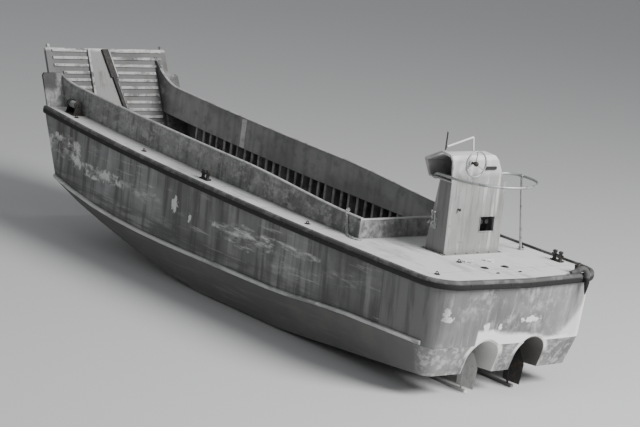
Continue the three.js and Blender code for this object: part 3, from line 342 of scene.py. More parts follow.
def side_finish():
    coats = Coats("side_paint", SIDE_GREY, 0.62)
    fine = coats.cloud(30.0, detail=6.0, rough=0.7)
    rubs = coats.cloud(1.6, stretch=(0.55, 1.0, 7.0), shift=(2.0, 0.0, 5.0), detail=6.0, rough=0.65)
    coats.lay(coats.patches(0.9, 0.38, 0.62, detail=3.0), SIDE_DARK, 0.6)
    coats.lay(coats.runs(3.0, 0.46, 0.66), SIDE_DARK, 0.8)
    coats.lay(coats.both(coats.along("X", -2.2, -3.6), coats.patches(1.4, 0.3, 0.6)), SIDE_DARK, 0.6)
    coats.lay(coats.runs(11.0, 0.56, 0.74, 4.0), SCRAPE_GREY, 0.2)
    coats.lay(coats.step(rubs, 0.6, 0.7), SCRAPE_GREY, 0.3)
    flecks = coats.patches(10.0, 0.4, 0.68, stretch=(0.35, 1.0, 1.6), detail=8.0, rough=0.72)
    smears = coats.patches(2.4, 0.42, 0.62, stretch=(0.7, 1.0, 2.6), detail=6.0, rough=0.65)
    for middle, reach in SIDE_SCRAPES:
        coats.lay(coats.both(coats.spot(middle, reach, 0.9, 3.0), smears, flecks), SCRAPE_GREY)
    blots = coats.patches(7.0, 0.48, 0.6, stretch=(0.8, 1.0, 0.7), detail=8.0, rough=0.7)
    for middle, reach in SIDE_SCRAPES[:2]:
        coats.lay(coats.both(coats.spot(middle, reach, 0.7, 4.0), blots), SCRAPE_GREY, 0.8)
    for middle, reach in SIDE_CHIPS:
        coats.lay(coats.spot(middle, reach, 1.3, 16.0), SCRAPE_GREY, 0.95)
    all_over = coats.patches(1.3, 0.52, 0.68, stretch=(0.5, 1.0, 1.6), detail=5.0)
    coats.lay(coats.both(flecks, all_over), SCRAPE_GREY, 0.4)
    coats.lay(coats.both(coats.runs(3.0, 0.6, 0.74), coats.step(below_sheer(coats), 0.9, 0.1)), RUST, 0.8)
    near_knuckle = coats.both(coats.step(below_sheer(coats), 0.72, 0.98), coats.step(rubs, 0.4, 0.55))
    coats.lay(near_knuckle, SIDE_DARK, 0.7)
    coats.lay(coats.step(fine, 0.62, 0.7), SIDE_DARK, 0.25)
    coats.relief(coats.cloud(1.15, stretch=(1.0, 1.0, 0.8), detail=1.0), 0.016)
    return coats.grained(fine, 0.5, 0.8, 0.0012).done()


finish(side_finish(), "side_plating_port", "side_plating_starboard", "bow_frame")


# Transom: sheet steel in lighter grey than the sides, streaked from the guard down. White paint shows in a
# torn band along its foot and over the tunnels. Painted light pales the grey towards starboard, and a painted
# highlight runs along the starboard quarter.
TRANSOM_GREY = (0.21, 0.21, 0.207)
TRANSOM_PALE = (0.36, 0.36, 0.355)
WHITE_PAINT_AND_HIGHLIGHT = (0.92, 0.92, 0.9)
BAND_PORT, BAND_MIDDLE, BAND_RISE = 0.68, 0.86, 0.12
TUNNEL_Y, TUNNEL_SPRING, TUNNEL_R = 0.46, 0.56, 0.29
TRANSOM_MARKS = (
    ((-5.5, 0.54, 1.07), (0.6, 0.06, 0.07)),
    ((-5.5, 0.30, 1.06), (0.6, 0.035, 0.055)),
    ((-5.3, 1.33, 1.32), (0.6, 0.06, 0.07)),
    ((-5.3, 1.30, 1.22), (0.6, 0.09, 0.05)),
    ((-5.5, -0.27, 1.15), (0.6, 0.19, 0.045)),
    ((-5.5, 0.42, 0.97), (0.6, 0.05, 0.05)),
)


def over_tunnel(coats):
    """Distance outside the tunnels' arches: straight sides below the springing, round above it."""
    aside = coats.maths("SUBTRACT", coats.maths("ABSOLUTE", coats.axis("Y")), TUNNEL_Y)
    above = coats.maths("MAXIMUM", coats.maths("SUBTRACT", coats.axis("Z"), TUNNEL_SPRING), 0.0)
    square = coats.maths("MULTIPLY_ADD", aside, aside, coats.maths("MULTIPLY", above, above))
    return coats.maths("SUBTRACT", coats.maths("SQRT", square), TUNNEL_R)


def transom_finish():
    coats = Coats("transom_paint", TRANSOM_GREY, 0.6)
    fine = coats.cloud(28.0, detail=6.0, rough=0.7)
    # Painted light: the grey pales from the middle towards starboard.
    coats.lay(coats.step(coats.torn("Y", 1.1, 0.8, 4.0), 0.5, -0.9), TRANSOM_PALE, 0.9)
    coats.lay(coats.patches(1.3, 0.42, 0.62), SIDE_DARK, 0.3)
    coats.lay(coats.runs(5.0, 0.48, 0.64, 11.0), SIDE_DARK, 0.3)
    coats.lay(coats.runs(9.0, 0.54, 0.68, 16.0), TRANSOM_PALE, 0.6)
    flakes = coats.patches(9.0, 0.42, 0.66, detail=8.0, rough=0.72)
    coats.lay(coats.both(flakes, coats.patches(2.0, 0.45, 0.62, detail=5.0)), WHITE_PAINT_AND_HIGHLIGHT, 0.3)
    high = coats.maths("SUBTRACT", coats.torn("Z", 3.0, 0.16), 0.08)
    band_high = coats.maths("MULTIPLY_ADD", coats.axis("Y"), -BAND_RISE, high)
    band = coats.step(band_high, BAND_MIDDLE + 0.12, BAND_MIDDLE + 0.05)
    coats.lay(coats.both(band, coats.along("Y", BAND_PORT + 0.02, BAND_PORT - 0.01)), WHITE_PAINT_AND_HIGHLIGHT, 0.95)
    quarter = coats.maths("MULTIPLY_ADD", coats.axis("Y"), 1.1, high)
    coats.lay(coats.both(coats.step(quarter, -0.1, -0.3), coats.along("Y", -0.7, -1.0)), WHITE_PAINT_AND_HIGHLIGHT, 0.65)
    # Painted highlight: a near-white strip along the starboard quarter's edge.
    coats.lay(coats.both(coats.along("Y", -1.28, -1.4), coats.step(fine, 0.25, 0.5)), WHITE_PAINT_AND_HIGHLIGHT, 0.7)
    for middle, reach in TRANSOM_MARKS:
        coats.lay(coats.spot(middle, reach, 1.3, 16.0), WHITE_PAINT_AND_HIGHLIGHT, 0.8)
    beside = coats.step(coats.maths("ABSOLUTE", coats.axis("Y")), 1.38, 1.48)
    forward = coats.step(coats.torn("X", 2.2, 0.4, 5.0), -5.15, -4.9)
    port_turn = coats.step(coats.torn("Y", 3.0, 0.4), 1.3, 1.75)
    on_side = coats.maths("MAXIMUM", port_turn, coats.both(beside, forward))
    coats.lay(on_side, SIDE_GREY, 0.95)
    coats.lay(on_side, SIDE_DARK, 0.45)
    coats.lay(coats.both(on_side, coats.runs(3.0, 0.48, 0.7)), SIDE_DARK, 0.8)
    coats.lay(coats.step(fine, 0.63, 0.7), SIDE_DARK, 0.3)
    coats.relief(coats.cloud(1.3, detail=1.0), 0.012)
    return coats.grained(fine, 0.5, 0.8, 0.001).done()


finish(transom_finish(), "transom_plating")


# Bottom, tunnels and skegs: plate steel under dull dark paint, welded to the sides at the knuckle.
# Dried mud lies on it in tide lines, its after end below the transom is scoured pale, and so is the
# port tunnel inside.
BOTTOM_DARK = (0.13, 0.13, 0.129)
DRY_MUD = (0.2, 0.195, 0.18)
SCOURED = (0.27, 0.27, 0.265)


def bottom_finish():
    coats = Coats("bottom_paint", BOTTOM_DARK, 0.75)
    fine = coats.cloud(24.0, detail=6.0, rough=0.7)
    outside = over_tunnel(coats)
    tides = coats.patches(2.0, 0.52, 0.66, stretch=(0.4, 0.4, 6.0), detail=6.0, rough=0.65)
    coats.lay(coats.patches(1.1, 0.45, 0.75, detail=5.0, rough=0.6), DRY_MUD, 0.5)
    coats.lay(coats.both(tides, coats.along("Z", 0.9, 0.2)), DRY_MUD, 0.8)
    aft = coats.both(coats.along("X", -5.0, -5.25), coats.step(outside, 0.004, 0.012))
    coats.lay(aft, SCOURED, 0.9)
    coats.lay(coats.both(aft, coats.patches(2.2, 0.42, 0.62, detail=7.0, rough=0.65)), SIDE_DARK, 0.55)
    coats.lay(coats.both(aft, coats.patches(8.0, 0.48, 0.62, detail=8.0, rough=0.72)), WHITE_PAINT_AND_HIGHLIGHT, 0.35)
    round_arch = coats.both(aft, coats.step(outside, 0.09, 0.05), coats.along("Z", 0.55, 0.7))
    coats.lay(round_arch, WHITE_PAINT_AND_HIGHLIGHT, 0.8)
    inside = coats.both(coats.step(outside, 0.012, 0.004), coats.along("X", -4.2, -5.4))
    coats.lay(inside, DRY_MUD, 0.5)
    coats.lay(coats.both(inside, coats.along("Y", 0.0, 0.01)), WHITE_PAINT_AND_HIGHLIGHT, 0.75)
    coats.lay(coats.step(fine, 0.6, 0.68), DRY_MUD, 0.3)
    return coats.grained(fine, 0.6, 0.9, 0.002).done()


finish(bottom_finish(), "bottom_plating", "skeg_port", "skeg_starboard", "engine_bearers")


# Screws: cast bronze, three blades on a boss, held on the taper of the shaft by a key and a nut.
# They are dull and stained, and turn in the tunnels ahead of the rudders.
BRONZE_BROWN = (0.11, 0.085, 0.045)
BRONZE_GREEN = (0.07, 0.085, 0.06)
BOSS_R, BLADE_TIP, BLADE_PITCH = 0.048, 0.228, 0.30
BLADE_CHORD, BLADE_THICK = 0.155, 0.011
FORE_WAY, PORT_WAY, UP_WAY = np.eye(3)


def skin(rows, ring=False):
    """A part, as points, four-sided faces and flat ends: rows of section points, each joined to the next.

    The rows may close in a ring, which has no ends.
    """
    rows = np.asarray(rows, float)
    along, across = rows.shape[:2]
    number = np.arange(along * across).reshape(along, across)
    after = np.roll(number, -1, axis=0)[: along if ring else along - 1]
    here = number[: len(after)]
    quads = np.stack((here, np.roll(here, -1, 1), np.roll(after, -1, 1), after), axis=-1).reshape(-1, 4)
    return rows.reshape(-1, 3), quads, [] if ring else [number[0][::-1], number[-1]]


def unit(way):
    way = np.asarray(way, float)
    return way / np.linalg.norm(way, axis=-1, keepdims=True)


def circle(sides):
    angle = 2.0 * np.pi * np.arange(sides) / sides
    return np.column_stack((np.cos(angle), np.sin(angle)))


def turned(profile, sides=16):
    """A turned form about its own z axis, from pairs of radius and height."""
    profile = np.asarray(profile, float)
    round_it = np.column_stack((circle(sides), np.zeros(sides)))
    return skin(profile[:, :1, None] * round_it + profile[:, 1, None, None] * UP_WAY)


def many(part, places, along=FORE_WAY, out=UP_WAY):
    """Copies of a part: its own x turned along, its own z turned out, and then moved to each place."""
    points, quads, ends = part
    places = np.atleast_2d(np.asarray(places, float))
    out = np.broadcast_to(unit(out), places.shape)
    along = np.broadcast_to(np.asarray(along, float), places.shape)
    along = unit(along - (along * out).sum(1, keepdims=True) * out)
    turn = np.stack((along, np.cross(out, along), out), axis=1)
    copies = np.einsum("ij,kjl->kil", points, turn) + places[:, None]
    first = len(points) * np.arange(len(places))
    quads = (quads[None] + first[:, None, None]).reshape(-1, 4)
    return copies.reshape(-1, 3), quads, [end + start for start in first for end in ends]


def piece(name, parts, material, body="hull", stands_for=(), edge=0.0):
    """One object from parts, on a body: faces turned outwards, smooth but for sharp edges."""
    points, faces, first = [], [], 0
    for part_points, quads, ends in parts:
        points.append(part_points)
        faces += (quads + first).tolist() + [(end + first).tolist() for end in ends]
        first += len(part_points)
    mesh = bpy.data.meshes.new(name)
    mesh.from_pydata(np.concatenate(points).tolist(), [], faces)
    outward = bmesh.new()
    outward.from_mesh(mesh)
    bmesh.ops.recalc_face_normals(outward, faces=outward.faces)
    outward.to_mesh(mesh)
    outward.free()
    mesh.shade_smooth()
    mesh.set_sharp_from_angle(angle=SMOOTH_ANGLE)
    mesh.materials.append(material)
    made = bpy.data.objects.new(name, mesh)
    bpy.context.scene.collection.objects.link(made)
    if edge:
        round_edges(made, edge)
    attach(made, body)
    if stands_for:
        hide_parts(*stands_for)


def bronze_finish():
    coats = Coats("bronze", BRONZE_BROWN, 0.45, 0.75)
    coats.lay(coats.patches(7.0, 0.4, 0.7, detail=5.0), BRONZE_GREEN, 0.8)
    coats.lay(coats.patches(11.0, 0.55, 0.65, detail=6.0), DRY_MUD, 0.6)
    return coats.grained(coats.cloud(40.0, detail=6.0), 0.35, 0.75, 0.0008).done()


def blade():
    """A blade up its own x: the chord swells and closes, and turns by the arctangent of pitch over girth."""
    out = np.linspace(0.0, 1.0, 12)
    radius = BOSS_R * 0.8 + (BLADE_TIP - BOSS_R * 0.8) * out
    swell = (0.42 + 1.45 * out - 0.3 * out**2) * np.sqrt(np.clip(1.0 - out**6, 0.0, 1.0)) / 1.25
    half = np.maximum(0.5 * BLADE_CHORD * swell, 0.004)
    thick = BLADE_THICK * (1.0 - 0.75 * out)
    pitch = np.arctan2(BLADE_PITCH, 2.0 * np.pi * radius)[:, None]
    ring = circle(20)
    u, w = half[:, None] * ring[:, 0], 0.5 * thick[:, None] * ring[:, 1]
    y, z = u * np.cos(pitch) - w * np.sin(pitch), u * np.sin(pitch) + w * np.cos(pitch)
    return skin(np.stack((np.broadcast_to(radius[:, None], y.shape), y, z), axis=-1))


bronze = bronze_finish()
boss = turned(((0.03, -0.088), (0.046, -0.08), (0.052, -0.07), (0.051, 0.0), (0.046, 0.07),
               (0.028, 0.075)), 28)
nut = turned(((0.037, 0.0), (0.037, 0.03), (0.028, 0.05), (0.012, 0.062)), 6)
for row in frame["joints"]:
    if row["child"].startswith("screw_"):
        side_name = row["child"].removeprefix("screw_")
        hub, shaft_way = np.array(row["pos_m"]), unit(row["axis"])
        fore = np.cross(PORT_WAY, shaft_way)
        blade_ways = circle(3) @ (fore, PORT_WAY)
        parts = [many(blade(), hub, way, shaft_way) for way in blade_ways]
        parts += [many(boss, hub, fore, shaft_way), many(nut, hub - 0.075 * shaft_way, fore, -shaft_way)]
        piece(f"screw_{side_name}", parts, bronze, row["child"], [f"propeller_{side_name}"])
finish(bronze, "propeller_shaft_port", "propeller_shaft_starboard", edge=0.0015)


# Rudders: welded steel blades of foil section on round stocks, each with a pintle in its skeg's shoe.
# The starboard one is dark and rusting, as are the craft's small irons, and the port one scoured pale.
IRON_DARK = (0.03, 0.03, 0.03)
IRON_SCOURED = (0.5, 0.5, 0.49)
IRON_RUST = (0.085, 0.06, 0.045)
IRON_WORN = (0.16, 0.16, 0.155)
RUDDER_FORE, RUDDER_THICK, STOCK_R, PINTLE_R = -4.93, 0.05, 0.024, 0.015
RUDDER_FOOT, RUDDER_HEAD = 0.08, 0.60


def iron_finish(name, ground, rusty):
    coats = Coats(name, ground, 0.6, 0.2)
    fine = coats.cloud(60.0, detail=6.0)
    coats.lay(coats.patches(14.0, 0.48, 0.66, detail=6.0), IRON_RUST, rusty)
    coats.lay(coats.step(fine, 0.6, 0.68), IRON_WORN, 0.4)
    return coats.grained(fine, 0.45, 0.85, 0.0008).done()


def tube(path, radius, sides=12, ring=False, level=UP_WAY):
    """A round bar: about each point a circle, one way across path and level line, one across both."""
    path = np.asarray(path, float)
    way = unit(np.roll(path, -1, 0) - np.roll(path, 1, 0) if ring else np.gradient(path, axis=0))
    side = unit(np.cross(way, level))
    up = np.cross(side, way)
    around = circle(sides)
    wide = np.broadcast_to(radius, len(path))[:, None, None]
    return skin(path[:, None] + wide * (around[:, :1] * side[:, None] + around[:, 1:] * up[:, None]), ring)


def rudder_blade(y):
    """Foil sections up the blade: half thickness is the root of the chord share, less about that share."""
    up = np.linspace(0.0, 1.0, 16)
    aft = np.interp(up, (0.0, 0.62, 1.0), (-5.28, -5.32, -5.20))
    height = RUDDER_FOOT + up * np.interp(up, (0.0, 1.0), (0.53, RUDDER_HEAD - RUDDER_FOOT))
    share = np.concatenate((np.linspace(0.0, 1.0, 16) ** 2, np.linspace(1.0, 0.0, 16)[1:-1] ** 2))
    side = np.concatenate((np.ones(16), -np.ones(14)))
    half = side * RUDDER_THICK * 1.3 * (np.sqrt(share) - share * (0.985 + 0.015 * share))
    x = RUDDER_FORE + (aft - RUDDER_FORE)[:, None] * share
    return skin(np.stack(np.broadcast_arrays(x, y + half, height[:, None]), axis=-1))


iron = iron_finish("dark_iron", IRON_DARK, 0.8)
scoured_iron = iron_finish("scoured_iron", IRON_SCOURED, 0.25)
collar = turned(((0.03, 0.0), (0.045, 0.008), (0.045, 0.04), (0.03, 0.05)), 20)
for row in frame["joints"]:
    if row["child"].startswith("rudder_"):
        x, y = row["pos_m"][:2]
        stock = tube(((x, y, 0.07), (x, y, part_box(row["child"])[1].z)), STOCK_R, 20, level=FORE_WAY)
        pintle = tube(((x, y, 0.012), (x, y, 0.09)), PINTLE_R, 16, level=FORE_WAY)
        parts = [rudder_blade(y), stock, pintle, many(collar, (x, y, RUDDER_HEAD + 0.01))]
        rudder_iron = scoured_iron if y > 0 else iron
        piece(f"{row['child']}_blade", parts, rudder_iron, row["child"], [row["child"]], 0.002)


# Fender guard along the deck edge: a rubber and canvas section bolted to the plating, in three lengths.
# Its upper half is painted lighter grey as a highlight from above, with scuffs from ropes and other hulls
# over it; its lower half stays black.
FENDER_BLACK = (0.012, 0.012, 0.012)
FENDER_SHEEN_AND_SCUFFS = ((0.085, 0.085, 0.083), (0.2, 0.2, 0.197), (0.1, 0.1, 0.098))
GUARD_OUT, GUARD_BOTTOM, GUARD_TOP = 0.065, -0.075, 0.062
BOLT_PROUD = 0.011
DECK_EDGE_X = (-4.3, 1.8, 2.5, 3.2, 3.9, 4.6, 5.65)
DECK_EDGE_Y = (1.585, 1.585, 1.578, 1.565, 1.54, 1.505, 1.46)
QUARTER_R, QUARTER_Y, TRANSOM_CAMBER = 0.435, 1.15, 0.08
QUARTER_X = GUARD_OUT + QUARTER_R + TRANSOM_CAMBER - cad_box[1].x
GUARD_SPLIT = -4.3
BOLT_STEP = 0.36


def sheer(x):
    """Deck edge height: a parabola that rises to the bow."""
    return SHEER[0] + SHEER[1] * x + SHEER[2] * x**2


def fender(path, outward):
    """A D section along the deck edge: out by a power of the cosine, up by a power of the sine."""
    t = np.radians(np.linspace(-90.0, 90.0, 15))
    out = (GUARD_OUT - BOLT_PROUD) * np.cos(t) ** 0.55
    up = (GUARD_TOP + GUARD_BOTTOM) / 2
    up = up + (GUARD_TOP - GUARD_BOTTOM) / 2 * np.sign(t) * np.abs(np.sin(t)) ** 0.85
    out, up = np.concatenate((out, (-0.012, -0.012))), np.concatenate((up, up[[-1, 0]]))
    rows = path[:, None] + out[:, None] * outward[:, None]
    rows[..., 2] += up
    return skin(rows)


def on_edge(x, y):
    return np.column_stack((x, y, sheer(x)))


def stern_edge():
    """The stern's deck edge and its outward ways: straight, a quarter circle, straight, and all mirrored."""
    angle = np.radians(np.linspace(0.0, 90.0, 19))
    outward = np.column_stack((-np.sin(angle), np.cos(angle), 0 * angle))
    arc = np.array((QUARTER_X, QUARTER_Y, 0.0)) + QUARTER_R * outward
    x = np.concatenate(((GUARD_SPLIT - 0.0005,), arc[:, 0], (QUARTER_X - QUARTER_R - TRANSOM_CAMBER,)))
    y = np.concatenate(((DECK_EDGE_Y[0],), arc[:, 1], (0.0,)))
    halves = on_edge(x, y), np.vstack((PORT_WAY, outward, -FORE_WAY))
    return [np.vstack((half, half[-2::-1] * (1, -1, 1))) for half in halves]


def other_side(part):
    return part[0] * (1.0, -1.0, 1.0), part[1], part[2]


def fender_finish():
    coats = Coats("fender", FENDER_BLACK, 0.75)
    worn = coats.cloud(3.5, stretch=(0.5, 0.5, 3.0), detail=6.0, rough=0.65)
    # Painted highlight: the top half is laid lighter grey, and scuffs go over it.
    lit_top = coats.step(below_sheer(coats), -0.004, -0.024)
    coats.lay(coats.both(lit_top, coats.step(worn, 0.2, 0.45)), FENDER_SHEEN_AND_SCUFFS[0], 0.9)
    coats.lay(coats.both(lit_top, coats.patches(6.0, 0.48, 0.62, detail=7.0)), FENDER_SHEEN_AND_SCUFFS[1], 0.5)
    coats.lay(coats.step(worn, 0.62, 0.7), FENDER_SHEEN_AND_SCUFFS[2], 0.6)
    return coats.grained(coats.cloud(45.0, detail=6.0), 0.6, 0.9, 0.0015).done()


bolt_head = turned(((0.013, -0.004), (0.013, 0.004), (0.009, 0.009), (0.003, 0.011)), 8)
fender_rubber = fender_finish()
side_x = np.concatenate(((GUARD_SPLIT,), np.linspace(-3.0, 1.8, 9), (2.5, 3.2, 3.9, 4.6, 5.05)))
side_edge = on_edge(side_x, np.interp(side_x, DECK_EDGE_X, DECK_EDGE_Y))
fender_side = fender(side_edge, np.tile(PORT_WAY, (len(side_x), 1)))
bolt_x = np.arange(-4.2, 5.0, BOLT_STEP)
bolt_places = on_edge(bolt_x, np.interp(bolt_x, DECK_EDGE_X, DECK_EDGE_Y) + GUARD_OUT - BOLT_PROUD)
side_bolts = many(bolt_head, bolt_places, out=PORT_WAY)
stern_y = np.arange(-1.08, 1.09, BOLT_STEP)
stern_camber = TRANSOM_CAMBER * (1.0 - np.abs(stern_y) / QUARTER_Y)
stern_x = QUARTER_X - QUARTER_R - stern_camber - GUARD_OUT + BOLT_PROUD
stern_bolts = many(bolt_head, on_edge(stern_x, stern_y), PORT_WAY, -FORE_WAY)
piece("fender_port", [fender_side], fender_rubber, stands_for=["guard_port"])
piece("fender_starboard", [other_side(fender_side)], fender_rubber, stands_for=["guard_starboard"])
piece("fender_stern", [fender(*stern_edge())], fender_rubber, stands_for=["guard_stern"])
piece("fender_bolts", [side_bolts, other_side(side_bolts), stern_bolts], iron)


# Rubbing strake along the knuckle: a steel channel welded on where the side turns under, closed at its
# ends. Ground, quays and other craft have rubbed its paint through.
STRAKE_WORN = (0.56, 0.56, 0.55)


def strake_finish():
    coats = Coats("strake", STRAKE_WORN, 0.65)
    coats.lay(coats.patches(2.2, 0.42, 0.64, stretch=(0.6, 1.0, 2.0), detail=6.0), SIDE_DARK, 0.6)
    coats.lay(coats.patches(5.0, 0.55, 0.66, stretch=(0.5, 1.0, 2.0), detail=7.0), SCRAPE_GREY, 0.8)
    return coats.grained(coats.cloud(50.0, detail=6.0), 0.45, 0.8, 0.001).done()


finish(strake_finish(), "knuckle_strake_port", "knuckle_strake_starboard", edge=0.008)


# Decks: steel plate, painted pale and worn by boots, dirty along the coaming and the guard and in the
# seams. The hatch lid is of the same plate, chequered, with two drop handles let into it.
DECK_PALE = (0.70, 0.70, 0.69)
DECK_DIRT = (0.24, 0.235, 0.225)
GRIME = (0.12, 0.115, 0.11)
GRIT = (0.15, 0.145, 0.14)
SEAM_STEP = 1.25
CHEQUER_TURNS = 150.0


def deck_finish(name, chequered=False):
    coats = Coats(name, DECK_PALE, 0.6)
    fine = coats.cloud(35.0, detail=7.0, rough=0.7)
    coats.lay(coats.patches(0.8, 0.4, 0.72, detail=5.0, rough=0.6), DECK_DIRT, 0.4)
    coats.lay(coats.patches(3.0, 0.52, 0.7, stretch=(0.4, 1.5, 1.0), detail=6.0, rough=0.65), DECK_DIRT, 0.5)
    across = coats.maths("ABSOLUTE", coats.axis("Y"))
    noise = coats.cloud(6.0, detail=6.0)
    coats.lay(coats.step(coats.maths("MULTIPLY_ADD", noise, -0.09, across), 1.47, 1.53), DECK_DIRT, 0.8)
    inner = coats.step(coats.maths("MULTIPLY_ADD", noise, 0.09, across), 1.16, 1.1)
    coats.lay(coats.both(inner, coats.along("X", -3.15, -3.1)), DECK_DIRT, 0.7)
    coats.lay(coats.patches(9.0, 0.6, 0.68, detail=7.0, rough=0.75), GRIME, 0.5)
    coats.lay(coats.step(fine, 0.62, 0.7), GRIT, 0.35)
    line = coats.step(coats.maths("PINGPONG", coats.axis("X"), SEAM_STEP / 2), 0.012, 0.004)
    coats.lay(line, DECK_DIRT, 0.45)
    coats.relief(line, 0.002)
    coats.relief(coats.cloud(1.6, detail=1.0), 0.006)
    if chequered:
        waves = [coats.maths("SINE", coats.maths("MULTIPLY", coats.axis(way), CHEQUER_TURNS)) for way in "XY"]
        coats.relief(coats.step(coats.both(*waves), 0.35, 0.6), 0.002)
    return coats.grained(fine, 0.5, 0.8, 0.0008).done()


def slab(outline, low, high):
    """A plate with its outline in its own x and y, from one height to another."""
    outline = np.asarray(outline, float)
    return skin([np.column_stack((outline, np.full(len(outline), z))) for z in (low, high)])


def block(low, high):
    (x0, y0, z0), (x1, y1, z1) = low, high
    return slab(((x0, y0), (x1, y0), (x1, y1), (x0, y1)), z0, z1)


finish(deck_finish("deck_paint"), "side_deck_port", "side_deck_starboard", "aft_deck")
finish(deck_finish("hatch_paint", chequered=True), "hatch_lid")
LID_LOW, LID_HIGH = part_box("hatch_lid")
lid_top = sheer(LID_HIGH.x) + 0.033
handle_places = [((LID_LOW.x + LID_HIGH.x) / 2, y, lid_top) for y in (-0.2, 0.2)]
handle_cup = turned(((0.062, -0.004), (0.062, 0.003), (0.05, 0.005), (0.048, 0.001)), 24)
handle_ring = tube(np.column_stack((0.036 * circle(24), np.full(24, 0.008))), 0.005, 8, ring=True)
dog_bar = block((-0.03, -0.009, 0.0), (0.03, 0.009, 0.012))
dog_pin = turned(((0.014, -0.002), (0.014, 0.014), (0.008, 0.018)), 12)
dog_places = [(LID_LOW.x + 0.05, y, lid_top) for y in (-0.22, 0.22)]
hatch_parts = [many(part, handle_places) for part in (handle_cup, handle_ring)]
hatch_parts += [many(part, dog_places, PORT_WAY) for part in (dog_bar, dog_pin)]
piece("hatch_irons", hatch_parts, iron, "hatch")


# Coamings round the well: steel plate standing on the decks' inner edges, with a half-round bar along the
# top. Outside they are mottled dark, the starboard one is smooth grey inside with a white strap, and the
# bar is rubbed pale.
WELL_GREY = (0.26, 0.26, 0.258)
SCUFF_GREY = (0.42, 0.42, 0.415)
INNER_GREY, INNER_SHADE, INNER_RUN = (0.48, 0.48, 0.475), (0.24, 0.24, 0.238), (0.19, 0.19, 0.188)
CAP_PALE = (0.5, 0.5, 0.49)
CAP_SHADE = (0.33, 0.33, 0.325)
DECK_LIFT = 0.0303
COAMING_IN, COAMING_OUT = 1.02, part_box("coaming_port")[1].y
WELL_AFT, COAMING_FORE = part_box("coaming_aft")[0].x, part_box("coaming_port")[1].x
RISE_AFT, RISE_FORE = 0.30, 0.43
STRAP_X, STRAP_HALF = 2.65, 0.065


def weathered(name, ground, lighter, rough=0.65):
    """Old grey paint: broad clouds and run stains of dirt, and lighter scuffs with torn edges."""
    coats = Coats(name, ground, rough)
    fine = coats.cloud(40.0, detail=6.0, rough=0.7)
    coats.lay(coats.patches(1.4, 0.42, 0.66, detail=5.0, rough=0.6), SIDE_DARK, 0.6)
    coats.lay(coats.runs(17.0, 0.47, 0.64, 9.0), SIDE_DARK, 0.6)
    coats.lay(coats.patches(8.0, 0.44, 0.66, stretch=(0.7, 1.0, 1.0), detail=8.0, rough=0.72), lighter, 0.8)
    coats.lay(coats.patches(17.0, 0.52, 0.66, detail=7.0, rough=0.75), SIDE_DARK, 0.6)
    coats.lay(coats.step(fine, 0.62, 0.7), lighter, 0.25)
    return coats.grained(fine, rough - 0.12, rough + 0.18, 0.001)


def smooth_inside(coats):
    """The starboard plates' inner face, in smoother and lighter grey than the outside."""
    inner = coats.both(coats.along("Y", -1.0, -1.01), coats.along("Y", -1.03, -1.024))
    coats.lay(inner, INNER_GREY, 0.8)
    broad = coats.patches(1.2, 0.42, 0.62, stretch=(0.5, 1.0, 1.0), detail=3.0)
    coats.lay(coats.both(inner, broad), INNER_SHADE, 0.6)
    coats.lay(coats.both(inner, coats.patches(5.0, 0.48, 0.66, detail=6.0)), INNER_SHADE, 0.6)
    coats.lay(coats.both(inner, coats.runs(27.0, 0.46, 0.64, 6.0)), INNER_RUN, 0.35)
    return coats


def cap_finish(name, ground):
    coats = Coats(name, ground, 0.5)
    coats.lay(coats.patches(3.0, 0.42, 0.66, detail=6.0), CAP_SHADE, 0.7)
    coats.lay(coats.patches(9.0, 0.56, 0.66, detail=7.0), RUST, 0.4)
    return coats.done()


def coaming_top(x):
    """Height of the coaming's top: the deck, and a rise that grows smoothly up to the craft's middle."""
    t = np.clip((x - WELL_AFT) / -WELL_AFT, 0.0, 1.0)
    return sheer(x) + DECK_LIFT + RISE_AFT + (RISE_FORE - RISE_AFT) * t * t * (3.0 - 2.0 * t)


def half_round(path, across, wide, high):
    """A half-round bar on an edge: its section is half an ellipse across the edge, with a short skirt."""
    t = np.radians(np.linspace(0.0, 180.0, 11))
    out = np.concatenate((wide / 2 * np.cos(t), (-wide / 2, wide / 2)))
    up = np.concatenate((high * np.sin(t), (-0.4 * high, -0.4 * high)))
    rows = path[:, None] + out[:, None] * across
    rows[..., 2] += up
    return skin(rows)


well_paint = smooth_inside(weathered("well_paint", WELL_GREY, SCUFF_GREY)).done()
finish(well_paint, "coaming_port", "coaming_starboard", "coaming_aft")
worn_cap = cap_finish("cap_paint", CAP_PALE)
cap_x = np.linspace(WELL_AFT - 0.01, COAMING_FORE, 40)
cap_y = np.full(40, (COAMING_IN + COAMING_OUT) / 2)
side_cap = half_round(np.column_stack((cap_x, cap_y, coaming_top(cap_x))), PORT_WAY, 0.058, 0.016)
aft_y = np.linspace(-COAMING_OUT, COAMING_OUT, 12)
aft_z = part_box("coaming_aft")[1].z
aft_path = np.column_stack((np.full(12, WELL_AFT + 0.02), aft_y, np.full(12, aft_z)))
aft_cap = half_round(aft_path, FORE_WAY, 0.058, 0.016)
piece("coaming_caps", [side_cap, other_side(side_cap), aft_cap], worn_cap)
strap_top = coaming_top(STRAP_X)
strap = block((STRAP_X - STRAP_HALF, -COAMING_IN - 0.002, sheer(STRAP_X) - 0.05),
              (STRAP_X + STRAP_HALF, -COAMING_IN + 0.008, strap_top - 0.02))
strap_places = [(STRAP_X, -COAMING_IN + 0.006, strap_top - down) for down in (0.07, 0.2, 0.33, 0.45)]
strap_bolts = many(bolt_head, strap_places, out=PORT_WAY)
strap_paint = cap_finish("strap_paint", WHITE_PAINT_AND_HIGHLIGHT)
piece("coaming_strap", [strap, strap_bolts], strap_paint, edge=0.002)


# Bulwark wings: plates that carry the coaming on to the ramp, each with a cheek plate behind the ramp's
# edge. The port one stays low, with painted shade at its cheek's top, and the starboard one sweeps up to the
# ramp's top, with painted shade beside the ramp.
WING_END, WING_RISE_X, WING_RISE = 5.6, 4.7, {"port": 0.13, "starboard": 0.43}


